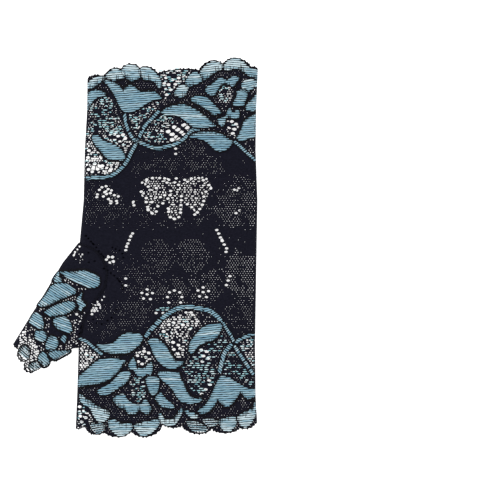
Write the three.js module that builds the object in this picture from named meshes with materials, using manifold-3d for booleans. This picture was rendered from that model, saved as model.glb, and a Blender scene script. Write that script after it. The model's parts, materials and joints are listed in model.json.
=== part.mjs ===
// A fingerless lace mitt, lying flat: a wide stretch galloon rolled into a tube for the hand, joined by
// one seam, with a short thumb tube sewn into its left side. Both ends and the thumb's mouth keep the
// galloon's scalloped edge. Blue satin flowers and vines stand slightly proud of the dark ground.
// Millimetres. +X is to the right, +Y to the cuff, +Z up. The mitt rests on its underside.
import * as THREE from "three";
import { mergeVertices } from "three/addons/utils/BufferGeometryUtils.js";
import Module from "manifold-3d";

const wasm = await Module();
wasm.setup();

// Cloth thickness and the clearance between neighbouring pieces
const WALL = 1.0;
const CLEARANCE = 0.3;
const SEAM_WIDTH = 1.2;
const SEAM_RIDGE = 0.3;
const CORD = 0.8;
const SATIN = 0.5;

// The flattened tube's section: two folds, a nearly flat upper layer and a flat underside
const FOLD = 5.0;
const FOLD_HEIGHT = 3.0;
const HAND_SECTION = { shoulder: 6.8, crown: 8.4, plateauSteps: 7 };
const THUMB_SECTION = { shoulder: 6.6, crown: 7.0, plateauSteps: 4 };
const FOLD_STEPS = 3;

// Where the hand's left and right folds run, from cuff to fingers
const HAND_SIDES = [
  { y: 112.0, left: -26.6, right: 67.6 },
  { y: 75.5, left: -27.0, right: 66.1 },
  { y: 53.5, left: -28.3, right: 65.8 },
  { y: 26.0, left: -28.9, right: 66.8 },
  { y: 2.3, left: -31.1, right: 66.4 },
  { y: -53.8, left: -31.6, right: 65.5 },
  { y: -81.8, left: -32.5, right: 65.8 },
  { y: -112.0, left: -33.8, right: 67.6 },
];

// Where the thumb's upper and lower folds run, from inside the hand to past its mouth
const THUMB_SIDES = [
  { upper: [-22.0, 12.0], lower: [-14.0, -46.0] },
  { upper: [-31.9, 2.3], lower: [-24.0, -51.0] },
  { upper: [-40.4, -8.4], lower: [-31.6, -53.8] },
  { upper: [-51.7, -27.4], lower: [-43.2, -60.9] },
  { upper: [-60.5, -41.6], lower: [-50.0, -64.9] },
  { upper: [-71.5, -59.3], lower: [-61.0, -71.4] },
];

// The seam round the thumb's base, seen from above, from the upper crotch to the lower one
const THUMB_BASE = [
  [-31.9, 2.3], [-23.7, -1.0], [-18.2, -7.0], [-16.0, -15.3],
  [-18.2, -23.5], [-23.7, -30.7], [-28.6, -40.6], [-31.6, -53.8],
];

// Scalloped edges: each row is a notch, and how far the lobe after it stands out from its chord
const CUFF_EDGE = [
  { x: -27.0, y: 92.3, rise: 1.9 },
  { x: -17.4, y: 93.1, rise: 2.6 },
  { x: -8.1, y: 97.8, rise: 2.7 },
  { x: 2.2, y: 98.2, rise: 2.4 },
  { x: 11.4, y: 95.2, rise: 1.6 },
  { x: 35.1, y: 97.1, rise: 3.4 },
  { x: 47.7, y: 100.5, rise: 4.3 },
  { x: 63.1, y: 98.6, rise: 1.2 },
  { x: 67.6, y: 97.1, rise: 0 },
];
const FINGER_EDGE = [
  { x: -33.6, y: -99.6, rise: 0.8 },
  { x: -28.1, y: -97.8, rise: 3.2 },
  { x: -17.6, y: -101.3, rise: 2.9 },
  { x: -2.6, y: -101.0, rise: 5.1 },
  { x: 14.7, y: -96.7, rise: 1.8 },
  { x: 25.4, y: -97.7, rise: 3.8 },
  { x: 41.7, y: -99.5, rise: 2.8 },
  { x: 57.0, y: -99.0, rise: 2.9 },
  { x: 67.4, y: -93.1, rise: 0 },
];
const THUMB_EDGE = [
  { x: -67.8, y: -52.9, rise: 0.4 },
  { x: -63.8, y: -56.6, rise: 2.6 },
  { x: -60.8, y: -62.8, rise: 2.4 },
  { x: -56.6, y: -68.9, rise: 0 },
];
const LOBE_STEPS = 4;

// Coarse net: patches of gaps, each a turned ellipse filled with staggered openings
const NET_PATCHES = [
  { name: "wing_left", x: 11.2, y: 31.5, long: 12.0, short: 7.6, turn: -28, pitch: 4.2 },
  { name: "wing_right", x: 33.0, y: 31.5, long: 12.0, short: 7.6, turn: 28, pitch: 4.2 },
  { name: "tail", x: 22.1, y: 21.5, long: 6.2, short: 3.4, turn: 90, pitch: 3.7 },
  { name: "ring", x: 22.1, y: -28.0, long: 4.6, short: 4.6, turn: 0, pitch: 3.0 },
  { name: "blossom_left", x: 4.3, y: -25.4, long: 3.6, short: 3.2, turn: 0, pitch: 2.8 },
  { name: "blossom_right", x: 35.9, y: -25.2, long: 3.6, short: 3.2, turn: 0, pitch: 2.8 },
  { name: "cuff_window", x: 26.6, y: 61.6, long: 4.6, short: 3.4, turn: 40, pitch: 2.9 },
  { name: "cuff_side", x: -23.0, y: 42.0, long: 4.4, short: 3.0, turn: 0, pitch: 3.0 },
  { name: "finger_window", x: 21.0, y: -45.0, long: 6.6, short: 4.6, turn: 20, pitch: 3.5 },
  { name: "stem_window", x: 38.0, y: -66.0, long: 4.4, short: 3.0, turn: 30, pitch: 3.0 },
  { name: "left_window", x: -28.0, y: -61.5, long: 3.4, short: 2.6, turn: 45, pitch: 2.9 },
  { name: "thumb_window", x: -58.2, y: -56.0, long: 3.4, short: 2.2, turn: 50, pitch: 2.8 },
];
const LADDERS = [
  { name: "ladder_left", from: [-2.0, 7.5], to: [-5.7, -1.3], gaps: 5 },
  { name: "ladder_right", from: [44.0, 11.2], to: [49.5, -2.1], gaps: 6 },
];
const GAP = { width: 2.2, height: 1.8 };

// Satin leaves and petals: from one end to the other, greatest width, and sideways bend to the left.
// Rows that share a name are lobes of one petal.
const LEAVES = [
  { name: "cuff_fold_leaf", from: [-25.8, 77.1], to: [-16.0, 84.0], width: 4.6, bend: 2.2 },
  { name: "cuff_fan_petal", from: [-6.4, 74.4], to: [-18.0, 90.6], width: 6.4, bend: -0.8 },
  { name: "cuff_fan_petal", from: [-6.4, 75.0], to: [-3.3, 89.6], width: 10.5, bend: 0 },
  { name: "cuff_fan_petal", from: [-6.4, 75.2], to: [13.6, 82.4], width: 8.0, bend: 1.0 },
  { name: "cuff_long_leaf", from: [14.6, 73.8], to: [44.6, 66.9], width: 9.0, bend: 3.6 },
  { name: "cuff_lower_leaf", from: [29.2, 59.8], to: [52.4, 57.2], width: 8.0, bend: 0.4 },
  { name: "cuff_upper_leaf", from: [30.0, 81.5], to: [47.0, 73.8], width: 6.0, bend: 1.0 },
  { name: "cuff_flower_petal", from: [49.6, 88.4], to: [38.4, 86.4], width: 5.0, bend: 0 },
  { name: "cuff_flower_petal", from: [49.6, 87.6], to: [46.0, 93.2], width: 4.6, bend: 0 },
  { name: "cuff_flower_petal", from: [49.6, 87.6], to: [55.6, 93.8], width: 4.6, bend: 0 },
  { name: "cuff_block_petal", from: [53.8, 77.6], to: [61.0, 86.0], width: 6.0, bend: 0 },
  { name: "cuff_low_right_leaf", from: [56.2, 59.2], to: [63.8, 71.6], width: 7.0, bend: 0.6 },
  { name: "cuff_trefoil", from: [51.8, 70.8], to: [45.8, 68.4], width: 4.0, bend: 0 },
  { name: "cuff_trefoil", from: [51.8, 70.4], to: [51.0, 76.2], width: 4.2, bend: 0 },
  { name: "cuff_trefoil", from: [51.8, 70.8], to: [56.8, 75.6], width: 4.2, bend: 0 },
  { name: "cuff_low_left_leaf", from: [-23.6, 61.6], to: [-6.6, 50.0], width: 8.0, bend: 0 },
  { name: "cuff_arch_petal_1", from: [-16.4, 93.0], to: [-9.0, 95.6], width: 3.4, bend: 0 },
  { name: "cuff_arch_petal_2", from: [-7.4, 95.6], to: [1.8, 96.4], width: 4.6, bend: 0 },
  { name: "cuff_arch_petal_3", from: [3.4, 96.4], to: [12.2, 89.6], width: 4.6, bend: 1.0 },
  { name: "cuff_arch_petal_4", from: [22.0, 83.8], to: [27.4, 88.8], width: 4.4, bend: 0 },
  { name: "cuff_arch_petal_5", from: [27.8, 89.4], to: [34.8, 93.8], width: 5.0, bend: 0 },
  { name: "cuff_arch_petal_6", from: [35.8, 94.6], to: [47.0, 98.6], width: 4.6, bend: 0.6 },
  { name: "cuff_arch_petal_7", from: [48.4, 99.0], to: [62.2, 97.2], width: 5.2, bend: 1.0 },
  { name: "finger_strip_leaf", from: [-29.6, -50.6], to: [-16.0, -59.6], width: 3.4, bend: 0 },
  { name: "finger_arch_leaf", from: [-19.4, -55.4], to: [3.8, -50.0], width: 8.4, bend: 0 },
  { name: "finger_big_left_leaf", from: [-29.8, -73.6], to: [-6.6, -62.2], width: 10.0, bend: 0 },
  { name: "finger_second_left_leaf", from: [-20.8, -79.4], to: [-3.0, -69.4], width: 6.4, bend: 0 },
  { name: "finger_left_fan", from: [-2.6, -89.4], to: [-12.4, -84.4], width: 6.6, bend: 0 },
  { name: "finger_left_fan", from: [-2.6, -88.4], to: [-6.4, -81.0], width: 5.0, bend: 0 },
  { name: "finger_left_fan", from: [-4.0, -89.4], to: [7.6, -87.0], width: 6.0, bend: 0 },
  { name: "finger_trefoil", from: [3.0, -68.0], to: [-4.2, -63.8], width: 4.2, bend: 0 },
  { name: "finger_trefoil", from: [3.0, -68.0], to: [8.6, -64.4], width: 4.2, bend: 0 },
  { name: "finger_trefoil", from: [3.0, -65.8], to: [3.8, -71.2], width: 4.4, bend: 0 },
  { name: "finger_block_petal", from: [9.4, -71.8], to: [10.0, -81.4], width: 6.6, bend: 0 },
  { name: "finger_small_leaf", from: [10.8, -83.6], to: [20.6, -88.0], width: 4.4, bend: 0 },
  { name: "finger_centre_leaf", from: [7.0, -51.6], to: [25.4, -63.6], width: 8.4, bend: -0.6 },
  { name: "finger_low_centre_leaf", from: [13.4, -69.6], to: [36.2, -83.6], width: 8.4, bend: -1.6 },
  { name: "finger_right_leaf", from: [47.2, -43.4], to: [29.2, -58.0], width: 8.4, bend: 0 },
  { name: "finger_right_fan", from: [47.6, -71.8], to: [34.8, -91.4], width: 7.0, bend: 0 },
  { name: "finger_right_fan", from: [47.6, -71.8], to: [50.2, -87.6], width: 10.0, bend: 0 },
  { name: "finger_right_fan", from: [46.6, -72.6], to: [63.8, -80.4], width: 7.4, bend: 0 },
  { name: "finger_scallop_petal_1", from: [-29.0, -82.4], to: [-17.8, -94.0], width: 6.4, bend: 0 },
  { name: "finger_scallop_petal_2", from: [-13.0, -93.6], to: [-4.2, -99.6], width: 7.6, bend: 0 },
  { name: "finger_scallop_petal_3", from: [0.2, -98.6], to: [11.6, -95.8], width: 6.0, bend: -1.6 },
  { name: "finger_scallop_petal_4", from: [13.8, -92.8], to: [24.0, -90.6], width: 4.8, bend: 0 },
  { name: "finger_scallop_petal_5", from: [26.2, -95.4], to: [38.2, -99.2], width: 4.2, bend: 0 },
  { name: "finger_scallop_petal_6", from: [37.4, -94.4], to: [45.0, -95.2], width: 4.2, bend: 0 },
  { name: "finger_scallop_petal_7", from: [46.2, -94.8], to: [54.4, -96.4], width: 6.8, bend: 0 },
  { name: "finger_scallop_petal_8", from: [57.4, -95.2], to: [63.6, -86.6], width: 5.0, bend: 0 },
  { name: "thumb_top_petal", from: [-39.4, -14.0], to: [-19.8, -18.4], width: 7.2, bend: 0 },
  { name: "thumb_outer_leaf", from: [-32.6, -24.4], to: [-51.4, -30.8], width: 7.4, bend: 0 },
  { name: "thumb_middle_leaf", from: [-33.4, -31.6], to: [-50.0, -36.6], width: 5.2, bend: 0 },
  { name: "thumb_inner_petal", from: [-45.0, -41.0], to: [-36.4, -46.4], width: 4.6, bend: 0 },
  { name: "thumb_outer_petal", from: [-55.0, -39.6], to: [-51.4, -50.6], width: 5.0, bend: 0 },
  { name: "thumb_low_petal", from: [-47.4, -48.8], to: [-48.4, -56.2], width: 5.4, bend: 0 },
];
const LEAF_STEPS = 5;

// Satin vines: the line that each stem follows. Stems that share a name grow from one another.
const STEMS = [
  { name: "cuff_vine", width: 2.2, line: [[-27.6, 37.8], [-19.8, 37.8], [-13.2, 39.7], [-7.7, 43.6], [-4.4, 48.0],
    [-2.75, 52.4], [0.6, 57.3]] },
  { name: "cuff_vine", width: 2.0, line: [[0.2, 57.0], [6.6, 56.0], [13.2, 55.3], [19.8, 56.2], [25.9, 59.6],
    [29.0, 62.0]] },
  { name: "cuff_vine", width: 2.0, line: [[0.6, 56.6], [-3.9, 66.1], [-6.0, 72.6]] },
  { name: "cuff_vine", width: 2.0, line: [[0.6, 56.6], [7.7, 68.3], [12.6, 75.0]] },
  { name: "cuff_side_vine", width: 2.0, line: [[53.6, 57.6], [57.8, 54.9], [61.1, 50.7], [65.0, 47.5]] },
  { name: "finger_vine", width: 2.4, line: [[5.4, -49.6], [11.6, -42.5], [18.7, -36.2], [24.8, -33.7], [30.8, -33.1],
    [36.3, -34.2], [41.3, -36.2], [46.2, -39.6], [49.6, -44.6], [53.9, -52.1]] },
  { name: "finger_vine", width: 1.9, line: [[53.6, -52.4], [59.4, -48.8], [64.6, -47.2]] },
  { name: "finger_vine", width: 2.0, line: [[54.0, -51.6], [48.4, -60.4], [46.4, -69.6]] },
  { name: "finger_vine", width: 1.7, line: [[53.8, -51.8], [58.3, -60.9], [64.0, -69.8]] },
];
const STEM_STEPS = 2;

// Colours from the lace: blue-black nylon ground, pale blue satin weft, near-black cords
const finish = (color, roughness) => new THREE.MeshStandardMaterial({ color, roughness, metalness: 0 });
const darkLace = finish(0x1b1b26, 0.85);
const satinThread = finish(0x6fb0cc, 0.5);
const edgeThread = finish(0x121218, 0.75);
const seamThread = finish(0x14141c, 0.8);

// Solid helpers: BufferGeometry to manifold and back
const solidOf = (geometry) => {
  const bare = geometry.index ? geometry.toNonIndexed() : geometry.clone();
  for (const name of Object.keys(bare.attributes)) if (name !== "position") bare.deleteAttribute(name);
  const merged = mergeVertices(bare, 1e-5);
  const triVerts = Uint32Array.from(merged.index.array);
  const vertProperties = Float32Array.from(merged.attributes.position.array);
  return new wasm.Manifold(new wasm.Mesh({ numProp: 3, vertProperties, triVerts }));
};

const geometryOf = (solid) => {
  const mesh = solid.getMesh();
  const geometry = new THREE.BufferGeometry();
  geometry.setAttribute("position", new THREE.BufferAttribute(mesh.vertProperties, 3));
  geometry.setIndex(new THREE.BufferAttribute(mesh.triVerts, 1));
  geometry.computeVertexNormals();
  return geometry;
};

const unite = (solids) => solids.reduce((all, next) => all.add(next));

// A vertical prism over an outline seen from above, taller than the mitt unless told otherwise
const prism = (outline, low = -2, high = 14) => {
  const shape = new THREE.Shape(outline.map(([x, y]) => new THREE.Vector2(x, y)));
  const geometry = new THREE.ExtrudeGeometry(shape, { depth: high - low, bevelEnabled: false });
  return solidOf(geometry.translate(0, 0, low));
};

const smooth = (points, steps) => {
  const curve = new THREE.SplineCurve(points.map(([x, y]) => new THREE.Vector2(x, y)));
  return curve.getPoints(steps).map((p) => [p.x, p.y]);
};

// The same line moved sideways, to its left where the distance is positive
const beside = (line, distance) => line.map((p, i) => {
  const before = line[Math.max(i - 1, 0)];
  const after = line[Math.min(i + 1, line.length - 1)];
  const run = Math.hypot(after[0] - before[0], after[1] - before[1]);
  return [p[0] - (distance * (after[1] - before[1])) / run, p[1] + (distance * (after[0] - before[0])) / run];
});

// One closed section of the flattened tube: distances across it and heights, drawn in by an inset
const section = (width, form, inset) => {
  const reach = FOLD - inset;
  const shoulder = form.shoulder - inset;
  const crown = form.crown - inset;
  const ring = [];
  const fold = (side, from, to) => {
    const step = Math.sign(to - from);
    for (let i = from; i !== to + step; i += step) {
      const angle = (i / FOLD_STEPS) * (Math.PI / 2);
      const rise = angle >= 0 ? shoulder - FOLD_HEIGHT : FOLD_HEIGHT - inset;
      const across = inset + reach * (1 - Math.cos(angle));
      ring.push([side < 0 ? across : width - across, FOLD_HEIGHT + rise * Math.sin(angle)]);
    }
  };
  fold(-1, -FOLD_STEPS, FOLD_STEPS);
  for (let i = 1; i < form.plateauSteps; i += 1) {
    const share = i / form.plateauSteps;
    ring.push([FOLD + (width - 2 * FOLD) * share, shoulder + (crown - shoulder) * 4 * share * (1 - share)]);
  }
  fold(1, FOLD_STEPS, -FOLD_STEPS);
  return ring;
};

// A solid through sections laid between pairs of points on the plan
const loft = (pairs, form, inset) => {
  const rings = pairs.map(([a, b]) => {
    const width = Math.hypot(b[0] - a[0], b[1] - a[1]);
    return section(width, form, inset).map(([across, height]) => {
      const share = across / width;
      return [a[0] + (b[0] - a[0]) * share, a[1] + (b[1] - a[1]) * share, height];
    });
  });
  const count = rings[0].length;
  const index = [];
  for (let row = 0; row + 1 < rings.length; row += 1) {
    for (let i = 0; i < count; i += 1) {
      const next = (i + 1) % count;
      const here = row * count;
      const there = here + count;
      index.push(here + i, there + next, here + next, here + i, there + i, there + next);
    }
  }
  const last = (rings.length - 1) * count;
  for (let i = 1; i + 1 < count; i += 1) {
    index.push(0, i, i + 1);
    index.push(last, last + i + 1, last + i);
  }
  const geometry = new THREE.BufferGeometry();
  geometry.setAttribute("position", new THREE.Float32BufferAttribute(rings.flat(2), 3));
  geometry.setIndex(index);
  return solidOf(geometry);
};

const handPairs = HAND_SIDES.map(({ y, left, right }) => [[left, y], [right, y]]);
const thumbPairs = THUMB_SIDES.map(({ upper, lower }) => [upper, lower]);

// The mitt's full form, drawn in or out by an inset, and the shell between two insets
const form = (inset) => loft(handPairs, HAND_SECTION, inset).add(loft(thumbPairs, THUMB_SECTION, inset));
const shell = (outer, inner) => form(outer).subtract(form(inner));

// Scalloped edges, moved outwards by a distance
const scallops = (rows, away) => {
  const line = [];
  rows.slice(0, -1).forEach((row, i) => {
    const next = rows[i + 1];
    const chord = [next.x - row.x, next.y - row.y];
    const length = Math.hypot(...chord);
    const out = [(away * chord[1]) / length, (-away * chord[0]) / length];
    for (let step = i === 0 ? 0 : 1; step <= LOBE_STEPS; step += 1) {
      const t = step / LOBE_STEPS;
      const rise = row.rise * Math.pow(4 * t * (1 - t), 0.8);
      line.push([row.x + chord[0] * t + out[0] * rise, row.y + chord[1] * t + out[1] * rise]);
    }
  });
  return line;
};
const TO_RIGHT = 1;
const TO_LEFT = -1;
const cuffLine = scallops(CUFF_EDGE, TO_LEFT);
const fingerLine = scallops(FINGER_EDGE, TO_RIGHT);
const thumbLine = scallops(THUMB_EDGE, TO_RIGHT);

// Outlines that trim the tubes, each edge moved out by a distance
const BEYOND = 8;
const extended = (line, first, last) => [first, ...line, last];
const openEnd = {
  cuff: (out) => extended(beside(cuffLine, out), [-36, 92.3 + out], [72, 97.1 + out]),
  finger: (out) => extended(beside(fingerLine, -out), [-40, -99.6 - out], [72, -93.1 - out]),
  thumb: (out) => extended(beside(thumbLine, -out), [-74 - out, -50 - out], [-52 - out, -74 - out]),
};
const handOutline = (out) => [...openEnd.finger(out), ...openEnd.cuff(out).reverse()];
const thumbOutline = (out) => [...openEnd.thumb(out), [-20, -60], [-10, 20], [-60, 20]];

// The thumb's side of the base seam, moved towards the thumb by a distance
const baseLine = smooth(THUMB_BASE, 18);
const thumbSide = (towards) => {
  const line = beside(baseLine, -towards);
  return [...line, [-40, -75], [-95, -100], [-95, 45], [-45, 12]];
};

const trimmed = (solid) => {
  const hand = prism(handOutline(0));
  const thumb = prism(thumbOutline(0)).intersect(prism(thumbSide(0)));
  return solid.intersect(hand.subtract(prism(thumbSide(0))).add(thumb));
};

// Gaps of the coarse net: diamonds, wider than tall, cut through the upper layer
const gapAt = (x, y) => {
  const [half, tall] = [GAP.width / 2, GAP.height / 2];
  return prism([[x - half, y], [x, y - tall], [x + half, y], [x, y + tall]], FOLD_HEIGHT + 0.5);
};

const patchGaps = ({ x, y, long, short, turn, pitch }) => {
  const angle = (turn * Math.PI) / 180;
  const rows = Math.ceil(long / pitch) + 1;
  const gaps = [];
  for (let row = -rows; row <= rows; row += 1) {
    for (let column = -rows; column <= rows; column += 1) {
      const across = (column + (row % 2 ? 0.5 : 0)) * pitch;
      const along = row * pitch * 0.78;
      const u = across * Math.cos(angle) + along * Math.sin(angle);
      const v = -across * Math.sin(angle) + along * Math.cos(angle);
      if ((u / long) ** 2 + (v / short) ** 2 < 1) gaps.push(gapAt(x + across, y + along));
    }
  }
  return gaps;
};

const ladderGaps = ({ from, to, gaps }) => Array.from({ length: gaps }, (_, i) => {
  const t = i / (gaps - 1);
  return gapAt(from[0] + (to[0] - from[0]) * t, from[1] + (to[1] - from[1]) * t);
});

const netGaps = unite([...NET_PATCHES.flatMap(patchGaps), ...LADDERS.flatMap(ladderGaps)]);

// Satin outlines: a leaf swells between two ends, and a stem keeps its width along a line
const leafOutline = ({ from, to, width, bend }) => {
  const run = [to[0] - from[0], to[1] - from[1]];
  const length = Math.hypot(...run);
  const side = [-run[1] / length, run[0] / length];
  const edge = (sign) => Array.from({ length: LEAF_STEPS }, (_, i) => {
    const t = (i + 0.35) / (LEAF_STEPS - 0.3);
    const swell = Math.pow(Math.sin(Math.PI * t), 0.7);
    const away = bend * Math.sin(Math.PI * t) + (sign * width * swell) / 2;
    return [from[0] + run[0] * t + side[0] * away, from[1] + run[1] * t + side[1] * away];
  });
  return [...edge(-1), ...edge(1).reverse()];
};

const stemOutline = ({ line, width }) => {
  const middle = smooth(line, (line.length - 1) * STEM_STEPS);
  return [...beside(middle, -width / 2), ...beside(middle, width / 2).reverse()];
};

// Pieces of the mitt
const wall = trimmed(shell(0, WALL));
const seamSlot = SEAM_WIDTH / 2 + CLEARANCE;
const slotLine = HAND_SIDES.map(({ y, right }) => [right - 9, y]);
const slotOutline = (half) => [...beside(slotLine, half), ...beside(slotLine, -half).reverse()];
const baseBand = (half) => [
  ...beside(extended(baseLine, [-33.6, 3.6], [-32.2, -56.4]), half),
  ...beside(extended(baseLine, [-33.6, 3.6], [-32.2, -56.4]), -half).reverse(),
];

const handLace = () => wall
  .subtract(prism(thumbSide(-CORD / 2 - CLEARANCE)))
  .subtract(prism(slotOutline(seamSlot), -2, FOLD_HEIGHT))
  .subtract(netGaps);

const thumbLace = () => wall
  .intersect(prism(thumbSide(CORD / 2 + CLEARANCE)))
  .subtract(netGaps);

const sideSeam = () => shell(0.1, WALL + SEAM_RIDGE)
  .intersect(prism(handOutline(-CLEARANCE)))
  .intersect(prism(slotOutline(SEAM_WIDTH / 2), -2, FOLD_HEIGHT - 0.5));

const thumbSeam = () => trimmed(shell(0.1, WALL - 0.1)).intersect(prism(baseBand(CORD / 2)));

const edgeCord = (outer, inner) => shell(0.1, WALL - 0.1).intersect(prism(outer).subtract(prism(inner)));
const bandOf = (end, insideCorners) => (out) => [...openEnd[end](out), ...insideCorners];
const cuffBand = bandOf("cuff", [[72, 0], [-36, 0]]);
const fingerBand = bandOf("finger", [[72, 0], [-40, 0]]);
const thumbBand = bandOf("thumb", [[-20, -62], [-20, 20], [-60, 10]]);

const largest = (solid) => {
  const bodies = solid.decompose().sort((a, b) => b.volume() - a.volume());
  return bodies[0];
};

const satinShell = shell(-CLEARANCE - SATIN, -CLEARANCE);
const satinPiece = (outlines) => largest(satinShell.intersect(unite(outlines.map((o) => prism(o, FOLD_HEIGHT + 0.6)))));

const glove = new THREE.Group();
glove.name = "lace_mitt";
const add = (name, solid, material) => {
  const mesh = new THREE.Mesh(geometryOf(largest(solid)), material);
  mesh.name = name;
  glove.add(mesh);
};

add("hand_lace", handLace(), darkLace);
add("thumb_lace", thumbLace(), darkLace);
add("side_seam", sideSeam(), seamThread);
add("thumb_seam", thumbSeam(), seamThread);
add("cuff_edge_cord", edgeCord(cuffBand(CLEARANCE + CORD), cuffBand(CLEARANCE)), edgeThread);
add("finger_edge_cord", edgeCord(fingerBand(CLEARANCE + CORD), fingerBand(CLEARANCE)), edgeThread);
add("thumb_edge_cord", edgeCord(thumbBand(CLEARANCE + CORD), thumbBand(CLEARANCE)), edgeThread);

const outlinesByName = new Map();
const gather = (row, outline) => outlinesByName.set(row.name, [...(outlinesByName.get(row.name) ?? []), outline]);
LEAVES.forEach((leaf) => gather(leaf, leafOutline(leaf)));
STEMS.forEach((stem) => gather(stem, stemOutline(stem)));
for (const [name, outlines] of outlinesByName) add(name, satinPiece(outlines), satinThread);

// The origin is the middle of the base
const box = new THREE.Box3().setFromObject(glove);
glove.position.set(-(box.min.x + box.max.x) / 2, -(box.min.y + box.max.y) / 2, -box.min.z);

export default glove;
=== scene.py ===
import json
import math
import random

import bmesh
import bpy
import numpy as np
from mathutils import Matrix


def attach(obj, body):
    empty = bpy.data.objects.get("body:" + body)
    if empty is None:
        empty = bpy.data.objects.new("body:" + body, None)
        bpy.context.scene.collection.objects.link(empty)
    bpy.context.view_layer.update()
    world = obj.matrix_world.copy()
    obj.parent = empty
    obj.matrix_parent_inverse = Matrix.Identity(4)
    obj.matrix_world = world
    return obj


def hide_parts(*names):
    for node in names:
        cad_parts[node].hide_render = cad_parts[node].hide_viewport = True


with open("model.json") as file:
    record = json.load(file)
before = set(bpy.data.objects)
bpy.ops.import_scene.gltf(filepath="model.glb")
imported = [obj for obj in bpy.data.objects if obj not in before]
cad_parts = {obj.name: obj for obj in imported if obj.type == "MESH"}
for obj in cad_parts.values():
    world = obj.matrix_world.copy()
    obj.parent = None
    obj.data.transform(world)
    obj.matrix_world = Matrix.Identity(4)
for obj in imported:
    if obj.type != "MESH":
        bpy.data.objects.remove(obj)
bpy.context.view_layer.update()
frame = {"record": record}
MM = 0.001

# The plan below is drawn in millimetres round the point over which the glove's tube was laid out;
# the frame's origin, the middle of the base, lies this far from it.
ORIGIN_SHIFT = (0.612, 0.130)

# The flattened tube: where its folds run, how wide a fold is and how high each layer lies
HAND_SIDES = [  # y, left fold, right fold
    (-112.0, -33.8, 67.6), (-81.8, -32.5, 65.8), (-53.8, -31.6, 65.5), (2.3, -31.1, 66.4),
    (26.0, -28.9, 66.8), (53.5, -28.3, 65.8), (75.5, -27.0, 66.1), (112.0, -26.6, 67.6),
]
THUMB_UPPER_FOLD = [
    (-12.0, 22.0), (-22.0, 12.0), (-31.9, 2.3), (-40.4, -8.4), (-51.7, -27.4), (-60.5, -41.6),
    (-71.5, -59.3),
]
THUMB_LOWER_FOLD = [
    (-6.0, -42.0), (-14.0, -46.0), (-24.0, -51.0), (-31.6, -53.8), (-43.2, -60.9), (-50.0, -64.9),
    (-61.0, -71.4),
]
THUMB_BASE = [
    (-31.9, 2.3), (-23.7, -1.0), (-18.2, -7.0), (-16.0, -15.3), (-18.2, -23.5), (-23.7, -30.7),
    (-28.6, -40.6), (-31.6, -53.8),
]
FOLD = 5.0
FOLD_HEIGHT = 3.0
HAND_SHOULDER = 6.6
HAND_CROWN = 8.2
THUMB_SHOULDER = 6.4
BACK_HEIGHT = 0.45

# The scalloped edges: each notch, and how far the lobe after it stands out
CUFF_EDGE = [
    (-27.0, 92.3, 1.9), (-17.4, 93.1, 2.6), (-8.1, 97.8, 2.7), (2.2, 98.2, 2.4), (11.4, 95.2, 1.6),
    (35.1, 97.1, 3.4), (47.7, 100.5, 4.3), (63.1, 98.6, 1.2), (67.6, 97.1, 0.0),
]
FINGER_EDGE = [
    (-33.6, -99.6, 0.8), (-28.1, -97.8, 3.2), (-17.6, -101.3, 2.9), (-2.6, -101.0, 5.1), (14.7, -96.7, 1.8),
    (25.4, -97.7, 3.8), (41.7, -99.5, 2.8), (57.0, -99.0, 2.9), (67.4, -93.1, 0.0),
]
THUMB_EDGE = [(-67.8, -52.9, 0.4), (-63.8, -56.6, 2.6), (-60.8, -62.8, 2.4), (-56.6, -68.9, 0.0)]

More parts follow.
